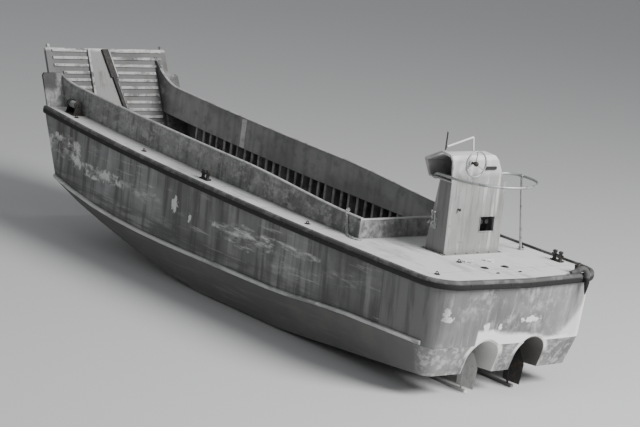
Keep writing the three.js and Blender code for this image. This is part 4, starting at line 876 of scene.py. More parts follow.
def wing_finish():
    coats = smooth_inside(weathered("wing_paint", WELL_GREY, SCUFF_GREY))
    # Painted shade on the starboard wing beside the ramp.
    shade_by_ramp = coats.both(coats.along("X", 4.7, 5.25), coats.along("Y", 0.0, -0.1))
    coats.lay(coats.both(shade_by_ramp, coats.patches(4.0, 0.3, 0.55, detail=6.0)), SIDE_DARK, 0.8)
    # Painted shade in dark iron grey at the top of the port cheek.
    post = coats.both(coats.step(coats.torn("Y", 6.0, 0.2, 5.0), 1.2, 1.32), coats.along("Z", 2.3, 2.42))
    return coats.lay(post, IRON_DARK, 0.9).done()


finish(wing_finish(), "bulwark_wing_port", "bulwark_wing_starboard")
wing_caps = []
for side, y, short in (("port", 1.0, 0.42), ("starboard", -1.0, 0.28)):
    x = np.linspace(COAMING_FORE, WING_END - short, 24)
    rise = WING_RISE[side] * (np.maximum(0.0, x - WING_RISE_X) / (WING_END - WING_RISE_X)) ** 2
    path = np.column_stack((x, y * cap_y[:24], sheer(x) + DECK_LIFT + RISE_FORE + rise))
    wing_caps.append(half_round(path, PORT_WAY, 0.056, 0.015))
piece("wing_caps", wing_caps, worn_cap)


# The well inside: web frames and bulkhead in old grey paint, with flat bars between the frames from the
# bottom plating up to the carling under the deck's edge. The floor's planks lie fore and aft on the
# bearers, wet and dark, with narrow gaps between them, and are bent up to the ramp.
FRAME_GREY, FRAME_SCUFF = (0.45, 0.45, 0.445), (0.6, 0.6, 0.59)
BOARD_WET, BOARD_DRY, BOARD_GRAIN = (0.09, 0.086, 0.08), (0.16, 0.152, 0.14), (0.04, 0.038, 0.035)
FLOOR_LOW, FLOOR_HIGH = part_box("well_floor")
FLOOR_THICK, FLOOR_BEND, FLOOR_LEVEL = 0.04, 2.1, 0.45
BOARDS, BOARD_GAP = 14, 0.006
RIB_FROM, RIB_STEP, RIB_COUNT = -2.76, 0.62 / 3, 33
RIB_WIDE, RIB_IN, RIB_OUT = 0.055, 1.075, 1.10
BOTTOM_X = (-3.6, -2.9, -2.3, -1.7, 0.4, 1.1, 1.8, 2.5, 3.2, 3.9, 4.6)
BOTTOM_Z = (0.195, 0.130, 0.075, 0.03, 0.03, 0.09, 0.19, 0.325, 0.48, 0.66, 0.885)


def side_rib(x):
    """A flat bar between two web frames, from over the bottom to under the deck's edge."""
    foot = np.interp(x, BOTTOM_X, BOTTOM_Z) + 0.04
    return block((x - RIB_WIDE / 2, RIB_IN, foot), (x + RIB_WIDE / 2, RIB_OUT, sheer(x) - 0.066))


def board_finish():
    coats = Coats("floor_boards", BOARD_WET, 0.55)
    grain = coats.cloud(9.0, stretch=(0.08, 1.0, 1.0), detail=7.0, rough=0.7)
    wide = (FLOOR_HIGH.y - FLOOR_LOW.y) / BOARDS
    plank = coats.maths("FLOOR", coats.maths("DIVIDE", coats.axis("Y"), wide))
    tone = coats.maths("SINE", coats.maths("MULTIPLY", plank, 12.9))
    coats.lay(coats.maths("FRACT", coats.maths("MULTIPLY", tone, 43.7)), BOARD_DRY, 0.6)
    coats.lay(coats.step(grain, 0.45, 0.65), BOARD_GRAIN, 0.7)
    coats.lay(coats.patches(2.0, 0.55, 0.66, detail=6.0), DRY_MUD, 0.5)
    return coats.grained(grain, 0.35, 0.75, 0.0015).done()


def board(y0, y1):
    """A plank, as sections across it along the floor's line: level, and then rising to its fore end."""
    x = np.array((FLOOR_LOW.x, FLOOR_BEND, FLOOR_HIGH.x))
    top = np.array((FLOOR_LEVEL, FLOOR_LEVEL, FLOOR_HIGH.z))
    low, lean = top - FLOOR_THICK, np.array((0.0, 0.0, 0.02))
    corners = ((y0, top, 0.0), (y1, top, 0.0), (y1, low, lean), (y0, low, lean))
    return skin(np.stack([np.column_stack((x - back, np.full(3, y), z)) for y, z, back in corners], axis=1))


inside_paint = weathered("inside_paint", FRAME_GREY, FRAME_SCUFF, 0.6).done()
finish(inside_paint, "side_frames_port", "side_frames_starboard", "well_bulkhead")
side_ribs = [side_rib(RIB_FROM + RIB_STEP * k) for k in range(1, RIB_COUNT) if k % 3]
piece("well_ribs", side_ribs + [other_side(rib) for rib in side_ribs], inside_paint, edge=0.002)
floor_boards = board_finish()
lines_y = np.linspace(FLOOR_LOW.y, FLOOR_HIGH.y, BOARDS + 1)
planks = [board(y0 + BOARD_GAP / 2, y1 - BOARD_GAP / 2) for y0, y1 in zip(lines_y, lines_y[1:])]
piece("well_boards", planks, floor_boards, stands_for=["well_floor"], edge=0.003)
finish(floor_boards, "floor_bearers")


# Bow ramp: a steel panel hinged on the bow frame, leaning out. Cleats for tracks lie across its inner face
# on both sides of a narrow smooth strip, between two guide bars, and stiffening ribs stand on its outside.
RAMP_GREY, RAMP_PALE = (0.155, 0.155, 0.153), (0.34, 0.34, 0.335)
CLEAT_WORN = (0.5, 0.5, 0.49)
RAMP_LEAN, BOW_X, BOW_Z = np.radians(27.0), 4.56, 1.0
CLEAT_FROM, CLEAT_STEP, CLEAT_COUNT, CLEAT_HIGH = 0.19, 0.135, 16, 0.05
RAMP_INNER, RAMP_OUTER, CLEAT_FACE = 0.010, 0.070, -0.016
RAMP_TOP = 2.29
SLANT_UP, SLANT_Y, SLANT_SHARE = 1.18, -0.195, 0.229
RAMP_RIBS_Y = np.linspace(-1.1, 1.1, 5)
RAMP_OUT = np.array((np.cos(RAMP_LEAN), 0.0, -np.sin(RAMP_LEAN)))
RAMP_UP = np.array((np.sin(RAMP_LEAN), 0.0, np.cos(RAMP_LEAN)))


def on_ramp(up, y, out):
    """Places in the bow's plane: up the ramp from the hinge, across, and out from the bow."""
    up, y, out = (way[..., None] for way in np.broadcast_arrays(np.asarray(up, float), y, out))
    return np.array((BOW_X, 0.0, BOW_Z)) + up * RAMP_UP + y * PORT_WAY + out * RAMP_OUT


def ramp_finish():
    coats = Coats("ramp_paint", RAMP_GREY, 0.65)
    fine = coats.cloud(32.0, detail=6.0, rough=0.7)
    fore = coats.maths("SUBTRACT", coats.axis("X"), BOW_X)
    rise = coats.maths("SUBTRACT", coats.axis("Z"), BOW_Z)
    out, up = (coats.maths("MULTIPLY_ADD", fore, way[0], coats.maths("MULTIPLY", rise, way[2]))
               for way in (RAMP_OUT, RAMP_UP))
    coats.lay(coats.patches(1.8, 0.42, 0.7, detail=5.0, rough=0.6), SIDE_DARK, 0.5)
    worn = coats.patches(7.0, 0.36, 0.56, stretch=(1.0, 0.4, 1.0), detail=7.0, rough=0.7)
    slant = coats.maths("MULTIPLY", coats.maths("SUBTRACT", up, SLANT_UP), SLANT_SHARE)
    aside = coats.maths("SUBTRACT", coats.axis("Y"), slant)
    middle = coats.both(coats.step(aside, -0.27, -0.23), coats.along("Y", 0.38, 0.36))
    coats.lay(coats.both(middle, coats.step(out, 0.02, 0.015)), RAMP_PALE, 0.7)
    coats.lay(coats.both(coats.step(out, CLEAT_FACE + 0.012, CLEAT_FACE + 0.006), worn), CLEAT_WORN, 0.9)
    coats.lay(coats.both(coats.step(up, RAMP_TOP - 0.07, RAMP_TOP - 0.02), worn), SCRAPE_GREY, 0.8)
    coats.lay(coats.runs(23.0, 0.55, 0.72, 8.0), RUST, 0.5)
    outside = coats.both(coats.step(out, 0.06, 0.068), coats.patches(2.4, 0.5, 0.66, detail=6.0))
    coats.lay(outside, DRY_MUD, 0.7)
    coats.lay(coats.step(fine, 0.62, 0.7), SIDE_DARK, 0.4)
    return coats.grained(fine, 0.45, 0.8, 0.0012).done()


def slant_strip(up, aside, high):
    """A strip on the ramp beside the slanting bar: a section of four points at each end."""
    y = SLANT_Y + (up - SLANT_UP) * SLANT_SHARE - aside
    section = ((0.0, RAMP_INNER), (0.022, RAMP_INNER), (0.022, high), (0.0, high))
    return skin(np.stack([on_ramp(up, y - back, out) for back, out in section], 1))


def ramp_grid(up, y, out):
    """Places on the ramp at every pair of a height and a place across."""
    return on_ramp(*np.meshgrid(up, y), out).reshape(-1, 3)


ramp_paint = ramp_finish()
finish(ramp_paint, "ramp_panel", edge=0.005)
finish(ramp_paint, "ramp_guide_bar_port")
finish(iron, "ramp_guide_bar_starboard", "ramp_hinge_brackets")
cleat_up = CLEAT_FROM + CLEAT_HIGH / 2 + CLEAT_STEP * np.arange(CLEAT_COUNT)
bolt_y = np.array((-0.92, -0.70, -0.53, 0.50, 0.72, 0.94))
cleat_bolts = many(bolt_head, ramp_grid(cleat_up, bolt_y, CLEAT_FACE - 0.001), RAMP_UP, -RAMP_OUT)
cleat_end = block((0.0, -0.085, -0.004), (CLEAT_HIGH, 0.085, RAMP_INNER - CLEAT_FACE))
end_places = ramp_grid(cleat_up[-3:] - CLEAT_HIGH / 2, (-1.065, 1.065), RAMP_INNER)
cleat_ends = many(cleat_end, end_places, RAMP_UP, -RAMP_OUT)
rib = block((0.0, -0.03, -0.004), (2.0, 0.03, 0.022))
ribs = many(rib, on_ramp(0.14, RAMP_RIBS_Y, RAMP_OUTER), RAMP_UP, RAMP_OUT)
rib_places = ramp_grid(np.linspace(0.2, 2.08, 14), RAMP_RIBS_Y, RAMP_OUTER + 0.021)
rib_bolts = many(bolt_head, rib_places, RAMP_UP, RAMP_OUT)
edge_up = np.linspace(0.12, RAMP_TOP - 0.02, 16)
edges = [tube(on_ramp(edge_up, y, RAMP_OUTER - 0.006), 0.016, 8, level=PORT_WAY) for y in (-1.255, 1.255)]
strip_rows = (((0.32, 1.7), 0.036, -0.012), ((1.76, 2.26), 0.066, -0.03))
strips = [slant_strip(np.array(up), aside, high) for up, aside, high in strip_rows]
piece("ramp_bolts", [cleat_bolts, rib_bolts], ramp_paint, "ramp")
piece("ramp_ribs", [ribs, cleat_ends, *edges], ramp_paint, "ramp", edge=0.004)
piece("ramp_strip", strips, worn_cap, "ramp", edge=0.002)


# Ramp hinge: one galvanised pin through the brackets on the bow frame, whose plate is bolted on.
# Its zinc is dull, and stained in patches.
ZINC, ZINC_STAIN = (0.42, 0.43, 0.43), (0.16, 0.15, 0.14)


def galvanised_finish():
    coats = Coats("galvanised", ZINC, 0.42, 0.65)
    coats.lay(coats.patches(12.0, 0.5, 0.7, detail=6.0), ZINC_STAIN, 0.7)
    return coats.grained(coats.cloud(90.0, detail=5.0), 0.35, 0.65, 0.0004).done()


galvanised = galvanised_finish()
finish(galvanised, "ramp_hinge_pin", edge=0.001)
hinge_bolts = many(bolt_head, on_ramp(-0.0725, np.linspace(-0.96, 0.96, 17), 0.0135), RAMP_UP, RAMP_OUT)
piece("hinge_bolts", [hinge_bolts], iron)


# Ramp winch on the port side deck: two cheek plates on a base, a wire drum between them, a toothed wheel
# outside the fore cheek, and a crank. All of it is painted dark, and the wire is galvanised.
WINCH = np.array((4.6, 1.19, sheer(4.6) + DECK_LIFT))
AXLE_UP, DRUM_R, WIRE_R, WIRE_TURNS = 0.16, 0.05, 0.0055, 13
CHEEK_R, TEETH, TOOTH_R, TOOTH_HIGH = 0.055, 24, 0.075, 0.006


def flowing(corners, steps=8):
    """A smooth line through places: on each stretch the cubic that its four nearest places give."""
    p = np.asarray(corners, float)
    p = np.vstack((2 * p[0] - p[1], p, 2 * p[-1] - p[-2]))
    t = np.linspace(0.0, 1.0, steps, endpoint=False)[:, None]
    a, b, c, d = (p[k:len(p) - 3 + k][:, None] for k in range(4))
    bends = (2 * b + (c - a) * t + (2 * a - 5 * b + 4 * c - d) * t**2 + (3 * b - a - 3 * c + d) * t**3) / 2
    return np.vstack((bends.reshape(-1, 3), p[-2]))


cheek_arc = np.radians(np.linspace(0.0, 180.0, 13))
cheek_round = np.column_stack((CHEEK_R * np.cos(cheek_arc), AXLE_UP + CHEEK_R * np.sin(cheek_arc)))
cheek = slab(np.vstack(((0.095, 0.012), cheek_round, (-0.095, 0.012))), -0.007, 0.007)
teeth = np.linspace(0.0, 2.0 * np.pi, 120, endpoint=False)
tooth_r = TOOTH_R + TOOTH_HIGH * np.clip(2.5 * np.sin(TEETH * teeth), -1.0, 1.0)
wheel = slab(np.column_stack((tooth_r * np.cos(teeth), tooth_r * np.sin(teeth))), 0.0, 0.016)
drum = turned(((0.02, -0.115), (0.086, -0.112), (0.086, -0.1), (DRUM_R, -0.1),
               (DRUM_R, 0.1), (0.086, 0.1), (0.086, 0.112), (0.02, 0.115)), 32)
axle = turned(((0.016, -0.16), (0.018, -0.15), (0.018, 0.20), (0.016, 0.205)), 16)
turn = np.linspace(0.0, 2.0 * np.pi * WIRE_TURNS, WIRE_TURNS * 20)
wire_along = np.linspace(-0.092, 0.092, len(turn))
wire_r = DRUM_R + WIRE_R
wire = np.column_stack((wire_along, wire_r * np.cos(turn), AXLE_UP + wire_r * np.sin(turn)))
crank = flowing(((0.195, 0.0, 0.0), (0.2, -0.03, -0.03), (0.2, -0.075, -0.075), (0.215, -0.085, -0.085),
                 (0.25, -0.085, -0.085)))
winch_parts = [
    many(block((-0.15, -0.11, -0.01), (0.15, 0.11, 0.014)), WINCH),
    many(cheek, WINCH + np.array(((-0.125, 0.0, 0.0), (0.125, 0.0, 0.0))), PORT_WAY, FORE_WAY),
    many(wheel, WINCH + (0.14, 0.0, AXLE_UP), PORT_WAY, FORE_WAY),
    many(drum, WINCH + (0.0, 0.0, AXLE_UP), PORT_WAY, FORE_WAY),
    many(axle, WINCH + (0.0, 0.0, AXLE_UP), PORT_WAY, FORE_WAY),
    tube(WINCH + (0.0, 0.0, AXLE_UP) + crank, 0.009, 10, level=(0.1, 0.3, 1.0)),
    many(bolt_head, WINCH + np.array([(x, y, 0.013) for x in (-0.12, 0.0, 0.12) for y in (-0.09, 0.09)])),
]
piece("winch", winch_parts, iron, stands_for=["ramp_winch"], edge=0.0015)
piece("winch_wire", [tube(WINCH + wire, WIRE_R, 6, level=FORE_WAY)], galvanised)


# Console: a welded sheet body on the aft deck, bolted down through a foot flange, with a hollow hood on top
# that is open to port. It is painted light grey, and dirty water has run down it in streaks. Its port face
# carries painted shade.
CONSOLE_GREY, CONSOLE_SHADE = (0.31, 0.31, 0.304), (0.24, 0.24, 0.235)
CONSOLE_RUN, CONSOLE_LIGHT = (0.19, 0.185, 0.18), (0.66, 0.66, 0.65)
HOOD_WHITE = (0.72, 0.72, 0.71)
HOOD_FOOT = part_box("console_head")[0].z
CONSOLE_FOOT = HOOD_FOOT - 1.0603
CONSOLE_AFT, CONSOLE_FORE, CONSOLE_PORT, CONSOLE_STARBOARD = -4.14, -3.72, 0.32, -0.78
FLANGE_WIDE, FLANGE_HIGH, FLANGE_LAP = 0.042, 0.008, 0.002
HOOD_SIDE = ((-4.10, 0.0), (-4.08, 0.322), (-4.02, 0.388), (-3.83, 0.408), (-3.48, 0.238), (-3.60, 0.0))


def console_finish():
    coats = Coats("console_paint", CONSOLE_GREY, 0.55)
    coats.lay(coats.patches(1.9, 0.42, 0.7, detail=5.0, rough=0.6), CONSOLE_SHADE, 0.6)
    coats.lay(coats.runs(31.0, 0.5, 0.68, 13.0), CONSOLE_RUN, 0.7)
    coats.lay(coats.runs(37.0, 0.6, 0.7, 22.0), RUST, 0.5)
    coats.lay(coats.runs(41.0, 0.56, 0.7, 9.0), CONSOLE_LIGHT, 0.7)
    foot_high = coats.torn("Z", 5.0, -0.16)
    coats.lay(coats.step(foot_high, CONSOLE_FOOT + 0.02, CONSOLE_FOOT - 0.06), DECK_DIRT, 0.7)
    coats.lay(coats.patches(10.0, 0.61, 0.68, detail=7.0, rough=0.75), GRIME, 0.7)
    hood_high = coats.torn("Z", 9.0, -0.09)
    coats.lay(coats.step(hood_high, HOOD_FOOT + 0.02, HOOD_FOOT + 0.16), HOOD_WHITE, 0.55)
    coats.lay(coats.step(hood_high, HOOD_FOOT + 0.27, HOOD_FOOT + 0.31), HOOD_WHITE, 0.85)
    # Painted shade on the body's port face, below the hood.
    port_face_shade = coats.both(coats.along("Y", 0.300, 0.316), coats.along("Z", HOOD_FOOT, HOOD_FOOT - 0.02))
    coats.lay(port_face_shade, SIDE_DARK, 0.4)
    coats.lay(coats.spot((-3.8, 0.25, HOOD_FOOT + 0.56), (0.03, 0.03, 0.16), 0.0), IRON_DARK)
    coats.relief(coats.cloud(2.6, detail=1.0), 0.006)
    return coats.grained(coats.cloud(38.0, detail=6.0, rough=0.7), 0.42, 0.75, 0.0008).done()


def closed_line(corners, steps):
    """Places at even shares of each side of a closed line through corners."""
    corners = np.asarray(corners, float)
    share = np.linspace(0.0, 1.0, steps, endpoint=False)[:, None]
    return np.vstack([a + (b - a) * share for a, b in zip(corners, np.roll(corners, -1, 0))])


console_paint = console_finish()
finish(console_paint, "console_body", edge=0.010)
finish(console_paint, "console_head", edge=0.006)
flange_port, flange_starboard = CONSOLE_PORT + FLANGE_WIDE, CONSOLE_STARBOARD - FLANGE_WIDE
flange_rows = (
    (CONSOLE_AFT - FLANGE_WIDE, CONSOLE_AFT + FLANGE_LAP, flange_starboard, flange_port),
    (CONSOLE_FORE - FLANGE_LAP, CONSOLE_FORE + FLANGE_WIDE, flange_starboard, flange_port),
    (CONSOLE_AFT, CONSOLE_FORE, CONSOLE_PORT - FLANGE_LAP, flange_port),
    (CONSOLE_AFT, CONSOLE_FORE, flange_starboard, CONSOLE_STARBOARD + FLANGE_LAP),
)
flange_top = CONSOLE_FOOT + FLANGE_HIGH
flanges = [block((x0, y0, CONSOLE_FOOT - 0.03), (x1, y1, flange_top)) for x0, x1, y0, y1 in flange_rows]
long_y = np.linspace(CONSOLE_STARBOARD, CONSOLE_PORT, 6)
short_x = np.linspace(CONSOLE_AFT + 0.06, CONSOLE_FORE - 0.06, 3)
middle = FLANGE_WIDE / 2
foot_bolts = [(x, y, flange_top) for x in (CONSOLE_AFT - middle, CONSOLE_FORE + middle) for y in long_y]
beside_y = (CONSOLE_STARBOARD - middle, CONSOLE_PORT + middle)
foot_bolts += [(x, y, flange_top) for x in short_x for y in beside_y]
hood_x, hood_up = closed_line(HOOD_SIDE, 8).T
hood_path = np.column_stack((hood_x, 0.31 + 0.02 * hood_up / 0.342, HOOD_FOOT + 0.012 + hood_up * 0.975))
piece("console_flange", flanges, console_paint, edge=0.002)
piece("console_bolts", [many(bolt_head, foot_bolts)], iron)
piece("hood_rim", [tube(hood_path, 0.015, 10, ring=True, level=PORT_WAY)], worn_cap)


# Console fittings on its aft face: a recess with a coaming and two dials, a stop knob, a dark plate on the
# hood, and the flange of the wheel's shaft. The dials are plain discs with a rim and a pointer.
RECESS_STARBOARD, RECESS_PORT, RECESS_DEEP = -0.62, -0.33, 0.10
RECESS_LOW, RECESS_HIGH = CONSOLE_FOOT + 0.32, CONSOLE_FOOT + 0.55
KNOB_Y, KNOB_Z = 0.133, 2.436
HOOD_PLATE = ((-4.112, -0.53, 3.015), (-4.08, -0.30, 3.062))
WHEEL = np.array((-4.22, 0.0, HOOD_FOOT + 0.303))
HOOD_FACE_X = -4.088
AFT_WAY = -FORE_WAY


def aft_face(height):
    """The console's aft face leans forward by 40 mm over its height."""
    return CONSOLE_AFT + 0.04 * (height - CONSOLE_FOOT) / 1.06


recess_corners = ((RECESS_STARBOARD, RECESS_LOW), (RECESS_PORT, RECESS_LOW),
                  (RECESS_PORT, RECESS_HIGH), (RECESS_STARBOARD, RECESS_HIGH))
recess_ring = [(aft_face(z) - 0.003, y, z) for y, z in recess_corners]
recess_bead = tube(closed_line(recess_ring, 10), 0.007, 8, ring=True, level=FORE_WAY)
dial = turned(((0.034, 0.0), (0.038, 0.002), (0.038, 0.016), (0.034, 0.019), (0.031, 0.014),
               (0.002, 0.013)), 28)
dial_z = (RECESS_LOW + RECESS_HIGH) / 2 + 0.02
dial_places = [(CONSOLE_AFT + RECESS_DEEP - 0.002, y, dial_z) for y in (-0.42, -0.53)]
pointer = block((-0.024, -0.0025, 0.012), (0.004, 0.0025, 0.016))
knob = turned(((0.016, -0.004), (0.016, 0.006), (0.007, 0.008), (0.007, 0.03), (0.02, 0.034), (0.023, 0.042),
               (0.018, 0.05), (0.004, 0.052)), 20)
knob_at = (aft_face(KNOB_Z), KNOB_Y, KNOB_Z)
shaft_flange = turned(((0.066, -0.006), (0.066, 0.005), (0.06, 0.009), (0.036, 0.011)), 28)
shaft_at = np.array((HOOD_FACE_X, *WHEEL[1:]))
bolt_ways = 0.052 * circle(4) @ ((0.7, 0.7), (-0.7, 0.7))
flange_bolts = [shaft_at + (-0.006, y, z) for y, z in bolt_ways]
small_bolt = (bolt_head[0] * 0.55, bolt_head[1], bolt_head[2])
fittings = [
    many(dial, dial_places, UP_WAY, AFT_WAY),
    many(knob, knob_at, UP_WAY, AFT_WAY),
    many(pointer, dial_places, (0.0, 0.7, 0.7), AFT_WAY),
    block(*HOOD_PLATE),
]
beads = [
    recess_bead,
    many(shaft_flange, shaft_at, UP_WAY, AFT_WAY),
    many(small_bolt, flange_bolts, UP_WAY, AFT_WAY),
]
piece("console_fittings", fittings, iron, edge=0.001)
piece("console_beads", beads, console_paint)


# Steering wheel: a galvanised ring on three spokes, with a dark hub and nut on the shaft that enters the
# hood. It turns with the rudders.
WHEEL_R, RIM_R, SPOKE_R, SHAFT_R = 0.19, 0.0125, 0.0075, 0.018


def on_rim(angle):
    """Places on the wheel's ring, by their angle from port."""
    return WHEEL + WHEEL_R * np.column_stack((0 * angle, np.cos(angle), np.sin(angle)))


rim = tube(on_rim(np.linspace(0.0, 2.0 * np.pi, 64, endpoint=False)), RIM_R, 14, ring=True, level=FORE_WAY)
spoke_ends = on_rim(np.pi / 2 + 2.0 * np.pi * np.arange(3) / 3.0)
spoke_root = WHEEL + 0.012 * FORE_WAY
spokes = [tube(np.linspace(spoke_root, end, 6), SPOKE_R, 10, level=FORE_WAY) for end in spoke_ends]
hub = turned(((0.03, -0.03), (0.036, -0.024), (0.036, 0.012), (0.028, 0.022), (0.015, 0.024), (0.015, 0.034),
              (0.004, 0.036)), 24)
shaft = tube((WHEEL + 0.02 * FORE_WAY, WHEEL + 0.17 * FORE_WAY), SHAFT_R, 18)
piece("wheel_ring", [rim, *spokes], galvanised, "helm", ["steering_wheel"])
piece("wheel_hub", [many(hub, WHEEL, UP_WAY, AFT_WAY), shaft], iron, "helm")


# Guard rail: one galvanised tube bent in a horseshoe round the place behind the wheel. Its ends stand in
# foot plates on the hood's port lug and on the console's top, with a single stanchion to starboard.
RAIL_Z, RAIL_R = HOOD_FOOT + 0.082, 0.021
RAIL_MIDDLE, RAIL_LONG, RAIL_WIDE = (-4.2, -0.372), 0.63, 0.712
PORT_END, STARBOARD_END = (-3.76, 0.335, HOOD_FOOT + 0.028), (-3.9, -0.757, HOOD_FOOT)
STANCHION_HEAD = (-4.10, -1.078, RAIL_Z)
sweep = np.radians(np.linspace(0.0, 180.0, 13))
horseshoe = np.column_stack((RAIL_MIDDLE[0] - RAIL_LONG * np.sin(sweep),
                             RAIL_MIDDLE[1] + RAIL_WIDE * np.cos(sweep), np.full(13, RAIL_Z)))
port_run = (PORT_END, (-3.76, 0.335, HOOD_FOOT + 0.053), (-3.80, 0.343, RAIL_Z - 0.006),
            (-3.95, 0.339, RAIL_Z))
starboard_run = ((-4.05, -1.075, RAIL_Z), (-3.93, -0.98, RAIL_Z), (-3.89, -0.86, RAIL_Z - 0.004),
                 (-3.9, -0.757, HOOD_FOOT + 0.05), STARBOARD_END)
rail_path = flowing(np.vstack((port_run, horseshoe, starboard_run)), 6)
stanchion_foot = np.array((-4.08, -1.30, sheer(-4.08) + DECK_LIFT))
stanchion = np.linspace(stanchion_foot - 0.02 * UP_WAY, STANCHION_HEAD, 8)
foot_plate = turned(((0.055, -0.01), (0.055, 0.008), (0.05, 0.012), (0.027, 0.014), (0.023, 0.03)), 24)
clamp = turned(((0.022, -0.03), (0.028, -0.028), (0.028, 0.028), (0.022, 0.03)), 18)
rail_parts = [
    tube(rail_path, RAIL_R, 16, level=(0.9, 0.1, 0.42)),
    tube(stanchion, RAIL_R - 0.001, 16, level=FORE_WAY),
    many(foot_plate, (stanchion_foot, STARBOARD_END, PORT_END)),
    many(small_bolt, [stanchion_foot + (0.041 * c, 0.041 * s, 0.010) for c, s in circle(4)]),
    many(clamp, STANCHION_HEAD, UP_WAY, (1.0, 0.1, 0.0)),
]
piece("rail", rail_parts, galvanised, stands_for=["guard_rail"])


# Engine levers on the console's port face: two arms with ball knobs beside curved quadrants, on one plate.
# They have worn bright.
LEVER_X, LEVER_Y, LEVER_Z = -3.85, 0.3203, CONSOLE_FOOT + 0.40
quadrant_arc = np.radians(np.linspace(20.0, 160.0, 15))
quadrant = np.column_stack((np.cos(quadrant_arc), np.sin(quadrant_arc)))
quadrant_plate = slab(np.vstack((0.075 * quadrant, 0.055 * quadrant[::-1])), -0.003, 0.003)
ball_t = np.radians(np.linspace(-80.0, 80.0, 9))
ball = turned(0.019 * np.column_stack((np.cos(ball_t), np.sin(ball_t))), 18)
pivot = turned(((0.016, -0.01), (0.016, 0.01)), 14)
lever_parts = [block((LEVER_X - 0.06, LEVER_Y, LEVER_Z - 0.07),
                     (LEVER_X + 0.06, LEVER_Y + 0.012, LEVER_Z + 0.09))]
for x in (LEVER_X - 0.03, LEVER_X + 0.03):
    arm = np.linspace((x, LEVER_Y + 0.01, LEVER_Z), (x - 0.022, LEVER_Y + 0.065, LEVER_Z + 0.19), 6)
    lever_parts += [
        tube(arm, np.linspace(0.009, 0.006, 6), 10, level=FORE_WAY),
        many(ball, arm[-1]),
        many(quadrant_plate, (x, LEVER_Y + 0.03, LEVER_Z - 0.02), PORT_WAY, FORE_WAY),
        many(pivot, (x, LEVER_Y + 0.016, LEVER_Z), UP_WAY, PORT_WAY),
    ]
piece("levers", lever_parts, galvanised, stands_for=["engine_levers"], edge=0.001)


# Bollards: twin posts with mushroom heads on a base plate, joined by a cross bar, cast and bolted down.
# One pair stands amidships on each side, one at the starboard quarter.
BOLLARDS = {"bollard_mid_port": (0.45, 1.33), "bollard_mid_starboard": (0.45, -1.33),
            "bollard_aft_starboard": (-4.76, -1.40)}
post = turned(((0.034, 0.0), (0.036, 0.012), (0.028, 0.028), (0.027, 0.11), (0.036, 0.125), (0.037, 0.137),
               (0.027, 0.148), (0.006, 0.151)), 24)
corner_arc = circle(24)
base = np.where(corner_arc > 0, 1.0, -1.0) * (0.085, 0.025) + 0.025 * corner_arc
cross = np.array([(x, 0.0, 0.095) for x in (-0.12, -0.118, 0.118, 0.12)])
base_bolts = np.array([(x, y, 0.015) for x in (-0.096, 0.0, 0.096) for y in (-0.034, 0.034)])
for name, (x, y) in BOLLARDS.items():
    foot = np.array((x, y, sheer(x) + DECK_LIFT))
    parts = [
        many(slab(base, -0.008, 0.016), foot),
        many(post, foot + np.array(((-0.06, 0.0, 0.01), (0.06, 0.0, 0.01)))),
        tube(foot + cross, np.array((0.009, 0.013, 0.013, 0.009)), 14),
        many(bolt_head, foot + base_bolts),
    ]
    piece(f"{name}_cast", parts, iron, stands_for=[name], edge=0.0015)


# Irons at the starboard quarter: a socket for the stern lantern's pipe, and beside it a horn for a line,
# both welded to one base plate and painted dark.
SOCKET = np.array((-5.42, -1.13, sheer(-5.42) + DECK_LIFT))
socket_tube = turned(((0.036, 0.0), (0.03, 0.02), (0.026, 0.03), (0.026, 0.10), (0.032, 0.105), (0.032, 0.12),
                      (0.02, 0.12), (0.018, 0.05)), 24)
horn = flowing(((0.0, -0.01, 0.05), (0.005, -0.045, 0.115), (0.03, -0.09, 0.13), (0.05, -0.125, 0.105),
                (0.052, -0.135, 0.08)), 6)
horn_thick = np.interp(np.linspace(0.0, 1.0, len(horn)), (0.0, 0.4, 1.0), (0.024, 0.021, 0.012))
socket_parts = [
    many(block((-0.07, -0.06, -0.008), (0.07, 0.06, 0.014)), SOCKET),
    many(socket_tube, SOCKET),
    tube(SOCKET + horn, horn_thick, 14, level=(1.0, 0.0, 0.2)),
    many(bolt_head, SOCKET + np.array([(x, y, 0.013) for x in (-0.052, 0.052) for y in (-0.042, 0.042)])),
]
piece("quarter_irons", socket_parts, iron, stands_for=["quarter_pipe"], edge=0.0015)


# Chafing hook beside the socket: a solid rubber horn, held to the deck at its root. It bends over the guard
# and hangs outside it, thick at the bend and thin at its tip, to keep lines off the guard.
HOOK_WAY = ((-5.50, -0.95, 0.032), (-5.51, -1.04, 0.052), (-5.56, -1.12, 0.098), (-5.61, -1.155, 0.065),
            (-5.628, -1.165, -0.05), (-5.622, -1.175, -0.17), (-5.61, -1.185, -0.27))
hook_line = flowing(np.array(HOOK_WAY) + (sheer(-5.45) + DECK_LIFT) * UP_WAY, 6)
hook_share = np.linspace(0.0, 1.0, len(hook_line))
hook_thick = np.interp(hook_share, (0.0, 0.3, 0.45, 0.7, 1.0), (0.034, 0.046, 0.046, 0.042, 0.008))
piece("quarter_hook", [tube(hook_line, hook_thick, 18, level=(0.3, 1.0, 0.0))], fender_rubber)


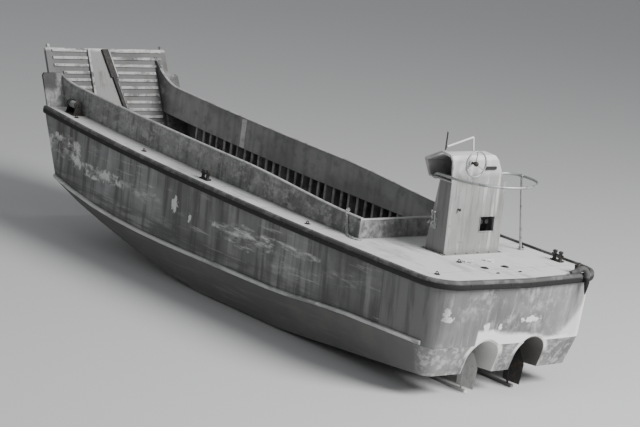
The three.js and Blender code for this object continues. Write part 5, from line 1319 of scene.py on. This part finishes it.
# Shackle and chain at the aft end of the port coaming: a welded eye, a bow shackle in it, and short links
# that hang to the deck and lie along it, all galvanised. Eyes of dark iron stand on the decks.
SHACKLE = np.array((-2.775, 1.082, 2.118))
CHAIN_R, LINK_HALF, LINK_WIDE, LINK_PITCH = 0.006, 0.013, 0.0145, 0.0375
CHAIN_WAY = ((-2.78, 1.082, 2.085), (-2.80, 1.085, 1.98), (-2.83, 1.09, 1.86), (-2.87, 1.11, 1.797),
             (-2.98, 1.16, 1.789), (-3.12, 1.17, 1.787), (-3.22, 1.12, 1.786))
EYE_PLACES = ((-4.54, 0.37), (-5.05, 1.25), (4.35, 1.30), (4.35, -1.30), (2.2, 1.33), (2.2, -1.33),
              (-3.97, -1.42), (-2.2, 1.33), (-2.2, -1.33))
chain_way = flowing(CHAIN_WAY, 24)
run = np.concatenate(((0.0,), np.cumsum(np.linalg.norm(np.diff(chain_way, axis=0), axis=1))))
link_at = np.arange(0.02, run[-1], LINK_PITCH)
link_places = np.column_stack([np.interp(link_at, run, chain_way[:, k]) for k in range(3)])
link_ways = unit(np.gradient(link_places, axis=0))
flat = np.cross(link_ways, (0.3, 1.0, 0.2))
link_out = np.where(np.arange(len(link_at))[:, None] % 2 == 0, flat, np.cross(link_ways, flat))
loop_x, loop_y = circle(20).T
straight = np.sign(loop_x) * LINK_HALF * (np.abs(loop_x) > 0.05)
link_path = np.column_stack((LINK_WIDE * loop_x + straight, LINK_WIDE * loop_y, np.zeros(20)))
bow_t = np.radians(np.linspace(-60.0, 240.0, 22))
bow = np.column_stack((0 * bow_t, 0.026 * np.cos(bow_t), 0.026 * np.sin(bow_t)))
eye_plate = turned(((0.03, -0.012), (0.03, 0.012)), 20)
chain_parts = [
    many(tube(link_path, CHAIN_R, 8, ring=True), link_places, link_ways, link_out),
    tube(SHACKLE + bow, 0.008, 10, level=FORE_WAY),
    many(eye_plate, SHACKLE + (0.0, -0.016, 0.017), UP_WAY, FORE_WAY),
]
eye_t = np.radians(np.linspace(-20.0, 200.0, 16))
eye_path = np.column_stack((0.026 * np.cos(eye_t), 0 * eye_t, 0.016 + 0.026 * np.sin(eye_t)))
eye_foot = turned(((0.045, -0.006), (0.045, 0.005), (0.038, 0.009)), 20)
eye_spots = np.array([(x, y, sheer(x) + DECK_LIFT) for x, y in EYE_PLACES])
eyes = [many(part, eye_spots) for part in (tube(eye_path, 0.007, 10, level=PORT_WAY), eye_foot)]
piece("chain", chain_parts, galvanised)
piece("deck_eyes", eyes, iron)


# Engines under the aft deck: each stands for the whole unit, a plain cast block under dark oily paint,
# bolted down on the bearers.
ENGINE_DARK, ENGINE_OIL = (0.05, 0.052, 0.05), (0.02, 0.018, 0.016)


def engine_finish():
    coats = Coats("engine_paint", ENGINE_DARK, 0.5)
    coats.lay(coats.patches(5.0, 0.5, 0.66, detail=6.0), ENGINE_OIL, 0.8)
    return coats.grained(coats.cloud(70.0, detail=5.0), 0.3, 0.6, 0.001).done()


finish(engine_finish(), "engine_block_port", "engine_block_starboard", edge=0.012)
